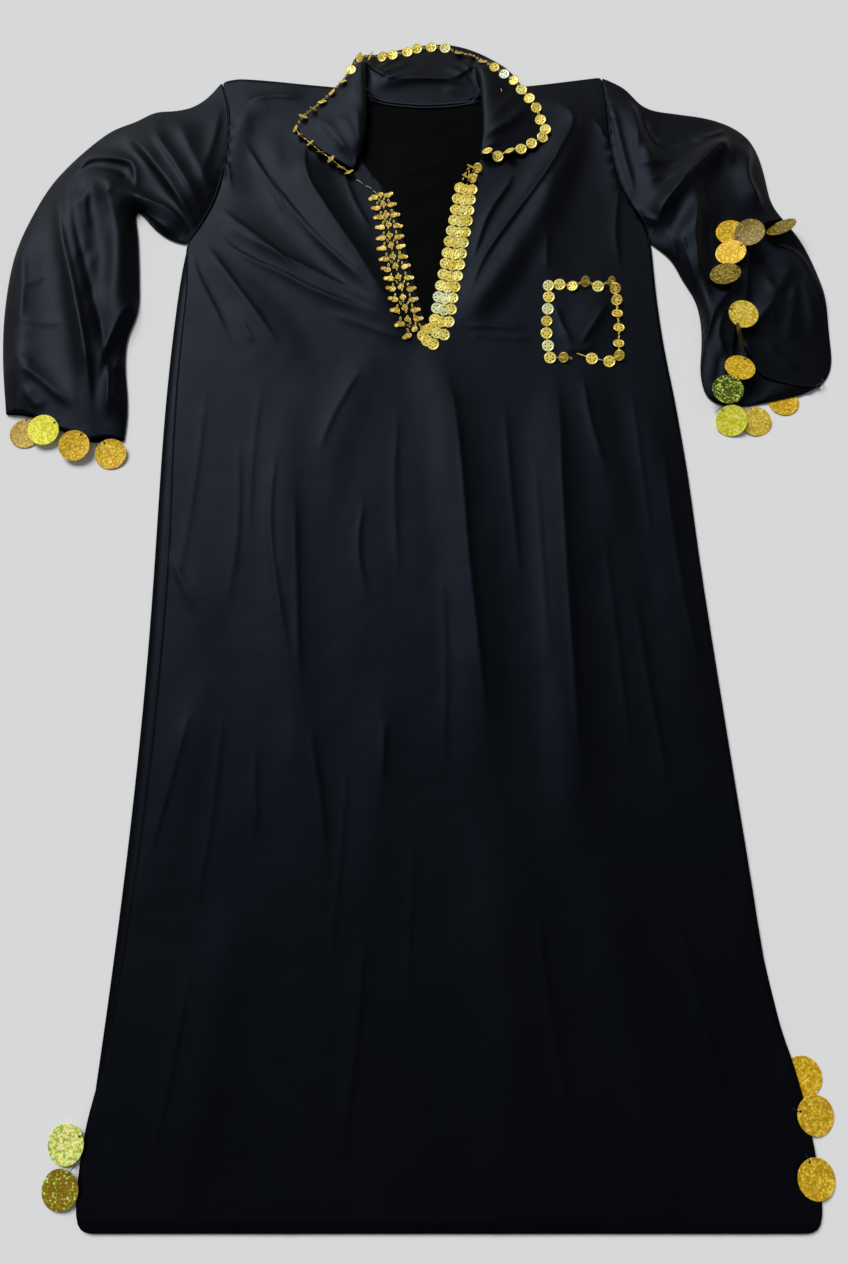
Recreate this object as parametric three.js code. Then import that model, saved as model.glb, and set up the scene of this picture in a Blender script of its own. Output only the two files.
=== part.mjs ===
// A costume galabeya laid flat on its back: front, back, two sleeves, a wide pointed collar
// and its coin trims. Millimetres, +X to the wearer's left, +Y towards the neck, +Z up out of
// the front. Every cloth piece is a thin wall that lies on the one below it.
import * as THREE from 'three';

// ---- driving dimensions -------------------------------------------------------------------
const WALL = 1.2;                  // cloth, drawn at the least wall a solid may have
const SEAM_GAP = 0.3;              // between pieces that are sewn to each other
const FRONT_REST = WALL + SEAM_GAP; // the front's underside, lying on the back
const COIN = { across: 16, thick: 0.9, clear: 0.6 };             // small pressed coins
const DISC = { across: 37, thick: 0.8, hole: 2.6, holeInset: 3, clear: 0.9 };

// ---- colours ------------------------------------------------------------------------------
const clothLook = () => new THREE.MeshStandardMaterial({ color: 0x0b0d14, roughness: 0.55, metalness: 0 });
const coinLook = () => new THREE.MeshStandardMaterial({ color: 0xc9a02c, roughness: 0.3, metalness: 0.9 });
const discLook = () => new THREE.MeshStandardMaterial({ color: 0xd8b02a, roughness: 0.35, metalness: 0.7 });

// ---- small tools --------------------------------------------------------------------------
const mix = (a, b, t) => a + (b - a) * t;
const clamp01 = (t) => Math.min(1, Math.max(0, t));
const smooth = (t) => clamp01(t) ** 2 * (3 - 2 * clamp01(t));
const steps = (count) => Array.from({ length: count + 1 }, (_, i) => i / count);

// a value read off a table of [key, value] rows, rounded between them
function through(rows) {
  const slope = (i) => {
    const a = rows[Math.max(i - 1, 0)];
    const b = rows[Math.min(i + 1, rows.length - 1)];
    return (b[1] - a[1]) / (b[0] - a[0]);
  };
  return (key) => {
    let i = rows.findIndex((row) => row[0] > key) - 1;
    if (i === -2) i = rows.length - 2;
    i = Math.max(i, 0);
    const span = rows[i + 1][0] - rows[i][0];
    const t = clamp01((key - rows[i][0]) / span);
    const rise = rows[i + 1][1] - rows[i][1];
    const t2 = t * t;
    const t3 = t2 * t;
    return rows[i][1] + rise * (3 * t2 - 2 * t3)
      + span * (slope(i) * (t3 - 2 * t2 + t) + slope(i + 1) * (t3 - t2));
  };
}

// a smooth curve through points, walked by its length from 0 to 1
function curve(points) {
  const vectors = points.map(([x, y, z = 0]) => new THREE.Vector3(x, y, z));
  const line = new THREE.CatmullRomCurve3(vectors, false, 'centripetal');
  line.arcLengthDivisions = 400;
  return (t) => line.getPointAt(clamp01(t));
}

// Folds: soft ridges in the cloth. Each runs from one point to another, bowed sideways, and is
// gentler on one side than the other.
function foldLift(folds) {
  return (x, y) => {
    let lift = 0;
    for (const fold of folds) {
      const dx = fold.toX - fold.fromX;
      const dy = fold.toY - fold.fromY;
      const length = Math.hypot(dx, dy);
      const along = ((x - fold.fromX) * dx + (y - fold.fromY) * dy) / length ** 2;
      if (along <= 0 || along >= 1) continue;
      const across = ((x - fold.fromX) * dy - (y - fold.fromY) * dx) / length
        - fold.bow * 4 * along * (1 - along);
      const width = across > 0 ? fold.right : fold.left;
      const fade = smooth(along / 0.22) * smooth((1 - along) / 0.22);
      lift += fold.rise * fade * Math.exp(-((across / width) ** 2));
    }
    return lift;
  };
}

// A closed wall from an open sheet: its upper points, its lower points and its four-sided
// faces. Wherever a face has no neighbour, the wall gets an edge.
function closedWall(upper, lower, quads) {
  const position = [];
  for (const point of [...upper, ...lower]) position.push(point.x, point.y, point.z);
  const under = upper.length;
  const index = [];
  const edges = new Set();
  for (const [a, b, c, d] of quads) {
    index.push(a, b, c, a, c, d);
    index.push(under + a, under + c, under + b, under + a, under + d, under + c);
    for (const [from, to] of [[a, b], [b, c], [c, d], [d, a]]) edges.add(`${from},${to}`);
  }
  for (const edge of edges) {
    const [from, to] = edge.split(',').map(Number);
    if (edges.has(`${to},${from}`)) continue;
    index.push(to, from, under + from, to, under + from, under + to);
  }
  const geometry = new THREE.BufferGeometry();
  geometry.setAttribute('position', new THREE.Float32BufferAttribute(position, 3));
  geometry.setIndex(index);
  geometry.computeVertexNormals();
  return geometry;
}

function gridQuads(rows, columns, at = (row, column) => row * columns + column) {
  const quads = [];
  for (let row = 0; row < rows - 1; row += 1) {
    for (let column = 0; column < columns - 1; column += 1) {
      quads.push([at(row, column), at(row, column + 1), at(row + 1, column + 1), at(row + 1, column)]);
    }
  }
  return quads;
}

const group = new THREE.Group();
const cloth = [];        // what lies under the coins, looked up by clothTop

function add(name, geometry, material, isCloth = false) {
  const mesh = new THREE.Mesh(geometry, material);
  mesh.name = name;
  group.add(mesh);
  mesh.updateMatrixWorld();
  if (isCloth) cloth.push(mesh);
  return mesh;
}

// ---- outlines of the body -----------------------------------------------------------------
// height up the body, then how far out the edge lies: hem, side seam, underarm, armhole
const HEM = -585;
const UNDERARM = 518;
const SHOULDER = 783;
const TIP = { x: 7, y: 392 };      // bottom of the neck slit
const frontRightSide = through([
  [HEM, -325], [-529, -326], [-494, -324], [-463, -315], [-420, -309], [-364, -304], [-268, -298],
  [-122, -292], [86, -292], [200, -297], [294, -300], [378, -300], [451, -299], [UNDERARM, -304],
]);
const backRightSide = through([
  [HEM, -325], [-529, -326], [-494, -326], [-463, -317], [-420, -313], [-345, -311], [-186, -306],
  [-9, -305], [200, -310], [308, -312], [407, -310], [481, -309], [UNDERARM, -305],
]);
const leftSide = through([
  [HEM, 372], [-541, 373], [-503, 370], [-438, 359], [-383, 344], [-268, 336], [-100, 325],
  [86, 314], [187, 310], [294, 302], [364, 295], [436, 291], [UNDERARM, 290],
]);
const rightArmhole = through([[UNDERARM, -305], [545, -289], [582, -274], [622, -265], [671, -260],
  [738, -263], [SHOULDER, -276]]);
const leftArmhole = through([[UNDERARM, 290], [545, 285], [580, 269], [617, 256], [671, 248],
  [738, 246], [SHOULDER, 243]]);
const slitRight = through([[TIP.y, TIP.x], [451, -8], [527, -24], [590, -42], [636, -72],
  [671, -92], [713, -95], [SHOULDER, -92]]);
const slitLeft = through([[TIP.y, TIP.x], [436, 21], [511, 40], [582, 55], [646, 71],
  [671, 84], [713, 90], [SHOULDER, 88]]);
const shoulderLine = through([[-276, 783], [-251, 789], [-142, 777], [-92, 772], [0, 772],
  [88, 772], [144, 777], [186, 783], [243, 792]]);
const backNeckLine = through([[-276, 783], [-251, 789], [-142, 777], [-92, 771], [-66, 755], [0, 747],
  [64, 754], [88, 771], [144, 777], [186, 783], [243, 792]]);

// rows of the body, closer together over the chest, where the folds are
const armholeRows = steps(12).map((t) => mix(UNDERARM, SHOULDER, t));
const chestRows = steps(10).slice(0, -1).map((t) => mix(TIP.y - 92, UNDERARM, t));
const skirtRows = steps(19).slice(0, -1).map((t) => mix(HEM, TIP.y - 92, t));
const bodyRows = [...skirtRows, ...chestRows, ...armholeRows];
const backRows = [...steps(9).slice(0, -1).map((t) => mix(HEM, UNDERARM, t)), ...armholeRows];

// the top rows bend to follow the shoulders
const topRow = (line, x, y) => y + (line(x) - SHOULDER) * smooth((y - 700) / (SHOULDER - 700));

// ---- folds of the front -------------------------------------------------------------------
const FRONT_FOLDS = [
  // collar points and armholes down to the foot of the slit
  { fromX: -178, fromY: 690, toX: -16, toY: 372, bow: 16, rise: 9, left: 24, right: 10 },
  { fromX: -214, fromY: 700, toX: -24, toY: 400, bow: 20, rise: 6, left: 18, right: 12 },
  { fromX: -285, fromY: 590, toX: 10, toY: 362, bow: 14, rise: 6, left: 18, right: 13 },
  { fromX: -304, fromY: 530, toX: -140, toY: 318, bow: -8, rise: 5, left: 15, right: 12 },
  { fromX: -240, fromY: 430, toX: -190, toY: 340, bow: 3, rise: 3, left: 14, right: 12 },
  { fromX: 212, fromY: 730, toX: 34, toY: 380, bow: -20, rise: 10, left: 12, right: 24 },
  { fromX: 236, fromY: 745, toX: 250, toY: 585, bow: -16, rise: 6, left: 13, right: 15 },
  { fromX: 120, fromY: 764, toX: 232, toY: 700, bow: -12, rise: 5, left: 14, right: 14 },
  { fromX: -150, fromY: 765, toX: -262, toY: 700, bow: 16, rise: 7, left: 15, right: 14 },
  { fromX: -250, fromY: 730, toX: -247, toY: 580, bow: 6, rise: 6, left: 12, right: 14 },
  { fromX: 168, fromY: 655, toX: 152, toY: 440, bow: 2, rise: 3, left: 20, right: 16 },
  // inside the coin square, drawn to its open corner
  { fromX: 228, fromY: 445, toX: 172, toY: 352, bow: 2, rise: 4, left: 13, right: 11 },
  // long folds of the skirt
  { fromX: 4, fromY: 392, toX: 62, toY: -190, bow: -10, rise: 6, left: 24, right: 13 },
  { fromX: 150, fromY: 352, toX: 158, toY: -270, bow: 4, rise: 6, left: 24, right: 12 },
  { fromX: 186, fromY: 350, toX: 226, toY: 110, bow: -4, rise: 3, left: 18, right: 16 },
  { fromX: -60, fromY: 372, toX: -124, toY: 170, bow: 6, rise: 3, left: 18, right: 14 },
  { fromX: -172, fromY: 300, toX: -134, toY: -110, bow: 10, rise: 4, left: 20, right: 13 },
  { fromX: -150, fromY: -60, toX: -96, toY: -330, bow: 4, rise: 4, left: 18, right: 13 },
  { fromX: -292, fromY: 130, toX: -238, toY: -10, bow: -3, rise: 4, left: 16, right: 14 },
  { fromX: -242, fromY: -50, toX: -294, toY: -300, bow: -6, rise: 4, left: 16, right: 18 },
  { fromX: -44, fromY: -60, toX: -60, toY: -330, bow: 4, rise: 3, left: 18, right: 16 },
  { fromX: 270, fromY: 330, toX: 312, toY: -180, bow: 4, rise: 4, left: 22, right: 20 },
  { fromX: 60, fromY: -200, toX: 90, toY: -560, bow: -6, rise: 4, left: 26, right: 20 },
  { fromX: 170, fromY: -240, toX: 240, toY: -570, bow: 6, rise: 4, left: 24, right: 18 },
  { fromX: -200, fromY: -280, toX: -230, toY: -570, bow: -4, rise: 4, left: 22, right: 18 },
];
const bodyLift = foldLift(FRONT_FOLDS);

// how far a point lies from the nearest edge row or side, so that seams stay down
const frontTop = (x, y, seam) => FRONT_REST + WALL + bodyLift(x, y) * seam;

// ---- front --------------------------------------------------------------------------------
// Two halves that share the middle line up to the foot of the slit and part above it.
function frontPanel() {
  const half = 16;
  const upper = [];
  const index = new Map();
  const halves = [
    { side: (y) => (y > UNDERARM ? rightArmhole(y) : frontRightSide(y)), slit: slitRight },
    { side: (y) => (y > UNDERARM ? leftArmhole(y) : leftSide(y)), slit: slitLeft },
  ];
  const middle = through([[HEM, 12], [TIP.y, TIP.x]]);
  bodyRows.forEach((y, row) => {
    halves.forEach(({ side, slit }, which) => {
      for (let step = 0; step <= half; step += 1) {
        const out = step / half;       // 0 at the middle or the slit, 1 at the side
        const shared = step === 0 && y <= TIP.y;
        if (shared && which === 1) {
          index.set(`${row},1,0`, index.get(`${row},0,0`));
          continue;
        }
        const x = mix(y > TIP.y ? slit(y) : middle(y), side(y), out);
        const seam = smooth((1 - out) * half / 2) * (y > 700 ? smooth((SHOULDER - y) / 60) : 1);
        index.set(`${row},${which},${step}`, upper.length);
        upper.push(new THREE.Vector3(x, topRow(shoulderLine, x, y), frontTop(x, y, seam)));
      }
    });
  });
  const quads = [];
  for (let row = 0; row < bodyRows.length - 1; row += 1) {
    for (let step = 0; step < half; step += 1) {
      const corner = (which, r, s) => index.get(`${r},${which},${s}`);
      quads.push([corner(0, row, step + 1), corner(0, row, step),
        corner(0, row + 1, step), corner(0, row + 1, step + 1)]);
      quads.push([corner(1, row, step), corner(1, row, step + 1),
        corner(1, row + 1, step + 1), corner(1, row + 1, step)]);
    }
  }
  const lower = upper.map((point) => new THREE.Vector3(point.x, point.y, point.z - WALL));
  return closedWall(upper, lower, quads);
}
add('front_panel', frontPanel(), clothLook(), true);

// ---- back ---------------------------------------------------------------------------------
// Flat on the surface; on the wearer's right it shows as a strip outside the front.
function backPanel() {
  const across = steps(14);
  const upper = [];
  for (const y of backRows) {
    const low = y > UNDERARM ? rightArmhole(y) : backRightSide(y);
    const high = y > UNDERARM ? leftArmhole(y) : leftSide(y) - 2;
    for (const t of across) {
      const x = mix(low, high, t);
      upper.push(new THREE.Vector3(x, topRow(backNeckLine, x, y), WALL));
    }
  }
  const lower = upper.map((point) => new THREE.Vector3(point.x, point.y, 0));
  return closedWall(upper, lower, gridQuads(backRows.length, across.length));
}
add('back_panel', backPanel(), clothLook(), true);

// ---- sleeves ------------------------------------------------------------------------------
// A sleeve is a flattened tube: an upper layer and an under layer that meet at the outer and
// the inner fold, open at the armhole and at the cuff.
function sleeve({ armhole, outer, inner, upperCuff, underCuff, upperLift, underLift, puff, lengthRows, lag = 1, flare = () => 2 }) {
  const shares = steps(armhole.length - 1);
  const flip = armhole[0][0] > 0 ? -1 : 1;    // the wearer's left sleeve is wound the other way
  const outerLine = curve(outer);
  const innerLine = curve(inner);
  // how far a curved end strays from the straight line between its two corners
  const bend = (point, from, to, s) => point.clone().sub(from.clone().lerp(to, s));
  const armholeAt = armhole.map(([x, y]) => new THREE.Vector3(x, y, 0));
  const layer = (cuffPoints, reach) => {
    const cuffLine = curve(cuffPoints);
    return (column, v) => {
      const s = shares[column];
      const point = outerLine(v).lerp(innerLine(v ** lag), s);
      point.addScaledVector(bend(armholeAt[column], armholeAt[0], armholeAt.at(-1), s), (1 - v) ** 2);
      return point.addScaledVector(bend(cuffLine(s), cuffLine(0), cuffLine(1), s), v ** reach(s));
    };
  };
  const upperAt = layer(upperCuff, () => 2);
  const underAt = layer(underCuff, flare);
  const columns = shares.length;
  const ring = (v, inside) => {
    const points = [];
    const inset = inside ? WALL : 0;
    const place = (at, column, z) => {
      const point = at(column, v);
      if (inside && (column === 0 || column === columns - 1)) {
        const toward = at(column === 0 ? 1 : columns - 2, v).sub(point).normalize();
        point.addScaledVector(toward, inset);
      }
      return new THREE.Vector3(point.x, point.y, z);
    };
    for (let column = 0; column < columns; column += 1) {
      const plan = upperAt(column, v);
      const s = shares[column];
      const fold = smooth(s / 0.12) * smooth((1 - s) / 0.12);
      const swell = puff(v) * Math.sqrt(4 * s * (1 - s));
      const calm = smooth(v / 0.1);
      const top = 2 * WALL + 0.8 + (swell + upperLift(plan.x, plan.y) * fold) * mix(0.25, 1, calm);
      points.push(place(upperAt, column, top - inset));
    }
    for (let column = columns - 1; column >= 0; column -= 1) {
      const plan = underAt(column, v);
      const s = shares[column];
      const fold = smooth(s / 0.12) * smooth((1 - s) / 0.12);
      points.push(place(underAt, column, underLift(plan.x, plan.y) * fold + inset));
    }
    return points;
  };
  const rows = steps(lengthRows);
  const around = 2 * columns;
  const outside = rows.flatMap((v) => ring(v, false));
  const inside = rows.flatMap((v) => ring(v, true));
  const quads = [];
  for (let row = 0; row < lengthRows; row += 1) {
    for (let step = 0; step < around; step += 1) {
      const next = (step + 1) % around;
      const quad = [row * around + step, (row + 1) * around + step,
        (row + 1) * around + next, row * around + next];
      if (flip < 0) quad.reverse();
      // start so that the wall splits it across its shorter diagonal
      const [a, b, c, d] = quad.map((i) => outside[i]);
      if (b.distanceTo(d) < a.distanceTo(c)) quad.push(quad.shift());
      quads.push(quad);
    }
  }
  return closedWall(outside, inside, quads);
}

// the armhole edge, from the shoulder to the underarm, one seam gap outside the body
const armholeEdge = (line, sign) => [...armholeRows].reverse()
  .map((y) => [line(y) + sign * SEAM_GAP * 1.5, topRow(shoulderLine, line(y), y)]);

const RIGHT_SLEEVE_FOLDS = [
  { fromX: -372, fromY: 712, toX: -290, toY: 560, bow: 8, rise: 9, left: 14, right: 12 },
  { fromX: -330, fromY: 730, toX: -280, toY: 585, bow: 4, rise: 6, left: 12, right: 12 },
  { fromX: -296, fromY: 535, toX: -452, toY: 650, bow: -10, rise: 12, left: 13, right: 14 },
  { fromX: -470, fromY: 640, toX: -396, toY: 300, bow: -4, rise: 14, left: 12, right: 13 },
  { fromX: -430, fromY: 640, toX: -384, toY: 380, bow: -22, rise: 13, left: 13, right: 16 },
  { fromX: -506, fromY: 560, toX: -470, toY: 270, bow: 8, rise: 7, left: 16, right: 20 },
  { fromX: -352, fromY: 450, toX: -398, toY: 340, bow: -8, rise: 9, left: 12, right: 12 },
  { fromX: -516, fromY: 340, toX: -414, toY: 286, bow: 6, rise: 6, left: 13, right: 13 },
  { fromX: -410, fromY: 345, toX: -396, toY: 225, bow: 2, rise: 7, left: 11, right: 10 },
  { fromX: -386, fromY: 330, toX: -362, toY: 240, bow: 2, rise: 6, left: 10, right: 10 },
];
add('sleeve_wearer_right', sleeve({
  armhole: armholeEdge(rightArmhole, -1),
  outer: [[-276.5, 783], [-300, 748], [-333, 732], [-357, 741], [-377, 718], [-405, 711], [-442, 676],
    [-486, 615], [-507, 560], [-521, 504], [-523, 420], [-516, 349], [-502, 273]],
  inner: [[-305.5, 518], [-324, 524], [-346, 541], [-366, 566], [-374, 573], [-367, 535], [-358, 460], [-355, 415],
    [-366, 379], [-364, 335], [-355, 280], [-356, 238]],
  upperCuff: [[-502, 273], [-473, 272], [-439, 252], [-415, 245], [-397, 234], [-380, 240], [-356, 238]],
  underCuff: [[-502, 273], [-470, 270], [-435, 252], [-397, 236], [-356, 238]],
  upperLift: foldLift(RIGHT_SLEEVE_FOLDS),
  underLift: () => 0,
  puff: (v) => mix(4, 7, smooth(v * 2)),
  lengthRows: 22,
  lag: 1.6,                         // rows fan out round the elbow
}), clothLook(), true);

const LEFT_SLEEVE_FOLDS = [
  { fromX: 252, fromY: 760, toX: 292, toY: 560, bow: -18, rise: 8, left: 12, right: 14 },
  { fromX: 284, fromY: 522, toX: 412, toY: 690, bow: -10, rise: 14, left: 14, right: 13 },
  { fromX: 300, fromY: 500, toX: 372, toY: 590, bow: 10, rise: 9, left: 12, right: 12 },
  { fromX: 350, fromY: 630, toX: 344, toY: 370, bow: 5, rise: 9, left: 12, right: 14 },
  { fromX: 392, fromY: 690, toX: 424, toY: 560, bow: -12, rise: 9, left: 14, right: 12 },
  { fromX: 275, fromY: 650, toX: 350, toY: 640, bow: -4, rise: 5, left: 12, right: 12 },
];
// the gaping cuff: its upper layer stands up along the coins, and the seam turned inside the
// under layer runs out to the corner
const CUFF_GAPE = [
  { fromX: 452, fromY: 600, toX: 386, toY: 250, bow: 14, rise: 6, left: 40, right: 60 },
];
const UNDER_SLEEVE_FOLDS = [
  { fromX: 388, fromY: 372, toX: 505, toY: 318, bow: 17, rise: 6, left: 5, right: 5 },
  { fromX: 440, fromY: 520, toX: 505, toY: 400, bow: -10, rise: 7, left: 12, right: 10 },
  { fromX: 482, fromY: 480, toX: 410, toY: 380, bow: 4, rise: 5, left: 12, right: 12 },
  { fromX: 430, fromY: 440, toX: 500, toY: 340, bow: 6, rise: 5, left: 14, right: 12 },
];
add('sleeve_wearer_left', sleeve({
  armhole: armholeEdge(leftArmhole, 1),
  outer: [[243.5, 792], [272, 775], [297, 740], [328, 732], [385, 721], [420, 702], [438, 676],
    [448, 620], [449, 596], [455, 573], [464, 557]],
  inner: [[290.5, 518], [313, 495], [325, 465], [339, 433], [343, 400], [341, 367], [336, 325],
    [342, 294], [360, 284]],
  upperCuff: [[464, 557], [444, 550], [425, 536], [410, 500], [402, 445], [395, 408], [380, 384],
    [375, 350], [371, 318], [360, 284]],
  underCuff: [[464, 557], [478, 535], [492, 495], [501, 440], [500, 373], [496, 326], [470, 303],
    [430, 294], [396, 284], [360, 284]],
  upperLift: foldLift([...LEFT_SLEEVE_FOLDS, ...CUFF_GAPE]),
  underLift: foldLift(UNDER_SLEEVE_FOLDS),
  puff: (v) => mix(4, 7, smooth(v * 2)),
  lengthRows: 20,
  flare: (s) => 4 / (s + 0.15),     // a late flare, later still beside the outer fold
}), clothLook(), true);

// ---- collar -------------------------------------------------------------------------------
// One wide strip sewn round the neck. Behind the neck it lies open, inner face up; at each
// side it rolls over and its pointed leaf lies on the front. A row is one section across the
// strip, from the neck seam over the roll to the outer edge.
const COLLAR_SECTIONS = [
  { neck: [-97, 640, 3.7], roll: [-92, 632, 7], mid: [-130, 657, 7.5], edge: [-171, 698, 5] },
  { neck: [-97, 668, 3.7], roll: [-80, 664, 14], mid: [-122, 697, 12], edge: [-166, 712, 5] },
  { neck: [-95, 702, 3.7], roll: [-76, 700, 17], mid: [-111, 728, 13], edge: [-150, 731, 5] },
  { neck: [-92, 735, 3.7], roll: [-76, 740, 18], mid: [-101, 758, 13], edge: [-132, 753, 5] },
  { neck: [-87, 760, 3.9], roll: [-77, 774, 18], mid: [-93, 788, 14], edge: [-114, 779, 5] },
  { neck: [-76, 756, 3.4], roll: [-79, 798, 16], mid: [-88, 806, 12], edge: [-101, 803, 4] },
  { neck: [-60, 750, 2.2], roll: [-77, 806, 11], mid: [-85, 818, 7], edge: [-92, 831, 2] },
  { neck: [-42, 746, 2.2], roll: [-52, 780, 8], mid: [-60, 812, 5], edge: [-69, 832, 1] },
  { neck: [-20, 743, 2.2], roll: [-26, 778, 8], mid: [-31, 814, 4], edge: [-33, 842, 1] },
  { neck: [2, 742, 2.2], roll: [2, 778, 8], mid: [2, 816, 4], edge: [1, 850, 1] },
  { neck: [22, 743, 2.2], roll: [26, 778, 8], mid: [31, 816, 4], edge: [34, 851, 1] },
  { neck: [42, 745, 2.2], roll: [48, 782, 9], mid: [56, 816, 5], edge: [66, 841, 1] },
  { neck: [58, 749, 2.2], roll: [66, 800, 11], mid: [77, 815, 7], edge: [92, 824, 2] },
  { neck: [72, 755, 3.4], roll: [71, 790, 16], mid: [91, 803, 12], edge: [116, 802, 4] },
  { neck: [84, 757, 3.9], roll: [75, 768, 18], mid: [104, 776, 14], edge: [138, 763, 5] },
  { neck: [90, 736, 3.7], roll: [76, 738, 18], mid: [112, 752, 13], edge: [155, 736, 5] },
  { neck: [92, 708, 3.7], roll: [77, 706, 17], mid: [116, 718, 13], edge: [166, 706, 5] },
  { neck: [92, 684, 3.7], roll: [76, 682, 14], mid: [116, 688, 11], edge: [163, 684, 5] },
  { neck: [92, 664, 3.7], roll: [73, 655, 8], mid: [110, 655, 7.5], edge: [148, 669, 5] },
];

function collarGrid(perSection, perSpan) {
  const column = (name) => new THREE.CatmullRomCurve3(
    COLLAR_SECTIONS.map((section) => new THREE.Vector3(...section[name])), false, 'centripetal');
  const lines = { neck: column('neck'), roll: column('roll'), mid: column('mid'), edge: column('edge') };
  const count = (COLLAR_SECTIONS.length - 1) * perSection;
  return steps(count).map((s) => {
    const neck = lines.neck.getPoint(s);
    const crest = lines.roll.getPoint(s);
    const mid = lines.mid.getPoint(s);
    const edge = lines.edge.getPoint(s);
    const turn = crest.clone();                 // the outermost line of the roll
    turn.z = mix(neck.z, crest.z, 0.5);
    const inward = mid.clone().sub(crest).setZ(0).normalize();
    crest.addScaledVector(inward, 6);
    const section = new THREE.CatmullRomCurve3([neck, turn, crest, mid, edge], false, 'centripetal');
    return steps(4 * perSpan).map((t) => {
      const point = section.getPoint(t);
      const onFront = smooth((Math.abs(point.x) - 85) / 25) * smooth((772 - point.y) / 30);
      point.z += bodyLift(point.x, point.y) * onFront;
      return point;
    });
  });
}

// moves a grid of points along its own normals
function offsetGrid(grid, distance) {
  return grid.flatMap((row, r) => row.map((point, c) => {
    const along = grid[Math.min(r + 1, grid.length - 1)][c].clone().sub(grid[Math.max(r - 1, 0)][c]);
    const across = row[Math.min(c + 1, row.length - 1)].clone().sub(row[Math.max(c - 1, 0)]);
    const normal = along.cross(across).normalize();
    return point.clone().addScaledVector(normal, distance);
  }));
}

const collarRows = collarGrid(2, 2);
add('collar', closedWall(offsetGrid(collarRows, WALL / 2), offsetGrid(collarRows, -WALL / 2),
  gridQuads(collarRows.length, collarRows[0].length).map((quad) => quad.reverse())), clothLook(), true);

// ---- coins --------------------------------------------------------------------------------
const ray = new THREE.Raycaster();
const DOWN = new THREE.Vector3(0, 0, -1);
function clothTop(x, y) {
  ray.set(new THREE.Vector3(x, y, 300), DOWN);
  const hits = ray.intersectObjects(cloth, false);
  return hits.length ? hits[0].point.z : 0;
}

// How high the middle of a piece lies when it rests on what is under it. offsets are points of
// its underside, turned, counted from its middle; every corner of the cloth within reach of
// the middle is tested too.
function restHeight(x, y, offsets, turn, { thick, clear }, reach) {
  let height = Math.max(...offsets.map((offset) => clothTop(x + offset.x, y + offset.y) + clear - offset.z));
  const normal = new THREE.Vector3(0, 0, 1).applyQuaternion(turn);
  for (const { geometry } of cloth) {
    const corners = geometry.attributes.position;
    for (let i = 0; i < corners.count; i += 1) {
      const dx = corners.getX(i) - x;
      const dy = corners.getY(i) - y;
      const rise = -(normal.x * dx + normal.y * dy) / normal.z;
      if (Math.hypot(dx, dy, rise) > reach) continue;
      height = Math.max(height, corners.getZ(i) + clear - rise + thick / 2 / normal.z);
    }
  }
  return height;
}

// tilt is the angle off level, toward is the compass direction of its low side, +X being 0
function tilted(tilt, toward) {
  const low = THREE.MathUtils.degToRad(toward);
  const axis = new THREE.Vector3(-Math.sin(low), Math.cos(low), 0);
  return new THREE.Quaternion().setFromAxisAngle(axis, THREE.MathUtils.degToRad(tilt));
}

// An eight-sided coin in four cuts across the string: how far along the cut lies, and how
// wide the coin is there, as shares of its half sizes.
const COIN_CUTS = [[-0.924, 0.383], [-0.383, 0.924], [0.383, 0.924], [0.924, 0.383]];

// A string of small coins, one wall that narrows between them. Each coin lies at its own
// tilt. wide is more than one coin where strings lie side by side.
function coinString(name, coins) {
  const upper = [];
  const lower = [];
  coins.forEach(({ x, y, tilt, toward, wide = COIN.across, deep = COIN.across }, i) => {
    const before = coins[Math.max(i - 1, 0)];
    const after = coins[Math.min(i + 1, coins.length - 1)];
    const along = new THREE.Vector3(after.x - before.x, after.y - before.y, 0).normalize();
    const across = new THREE.Vector3(-along.y, along.x, 0);
    const turn = tilted(tilt, toward);
    const corner = (forward, side, z) => new THREE.Vector3(0, 0, z)
      .addScaledVector(along, forward * deep / 2)
      .addScaledVector(across, side * wide / 2)
      .applyQuaternion(turn);
    const underside = COIN_CUTS.flatMap(([forward, side]) => [-side, -side / 2, 0, side / 2, side]
      .map((share) => corner(forward, share, -COIN.thick / 2)));
    const middle = new THREE.Vector3(x, y, restHeight(x, y, underside, turn, COIN, deep / 2));
    for (const [forward, side] of COIN_CUTS) {
      for (const share of [-side, side]) {
        upper.push(corner(forward, share, COIN.thick / 2).add(middle));
        lower.push(corner(forward, share, -COIN.thick / 2).add(middle));
      }
    }
  });
  const quads = gridQuads(upper.length / 2, 2).map((quad) => quad.reverse());
  return add(name, closedWall(upper, lower, quads), coinLook());
}

// coins set along a path, tilted as a short table of stretches says
function coinsAlong(points, count, stretches, options = {}) {
  const line = curve(points);
  return steps(count - 1).map((t, i) => {
    const at = line(t);
    const { tilt, toward } = stretches.find((stretch) => t <= stretch.upTo);
    const wobble = Math.sin(i * 2.4) * (options.wobble ?? 0);
    return { x: at.x, y: at.y, tilt: tilt + wobble, toward, ...(options.row ? options.row(t, i) : {}) };
  });
}

coinString('coin_trim_collar', coinsAlong([[-91, 629], [-115, 643], [-145, 673], [-167, 698], [-156, 716],
  [-132, 744], [-107, 778], [-94, 799], [-81, 821], [-50, 823], [-17, 834], [11, 843], [28, 841], [65, 827],
  [95, 804], [121, 778], [142, 748], [156, 714], [158, 692], [144, 675], [112, 661], [86, 658]], 38, [
  { upTo: 0.17, tilt: 58, toward: 240 },
  { upTo: 0.35, tilt: 50, toward: 130 },
  { upTo: 0.4, tilt: 24, toward: 84 },
  { upTo: 0.57, tilt: 8, toward: 270 },
  { upTo: 0.66, tilt: 36, toward: 60 },
  { upTo: 0.9, tilt: 10, toward: 300 },
  { upTo: 1, tilt: 20, toward: 270 },
], { wobble: 5 }));

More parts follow.
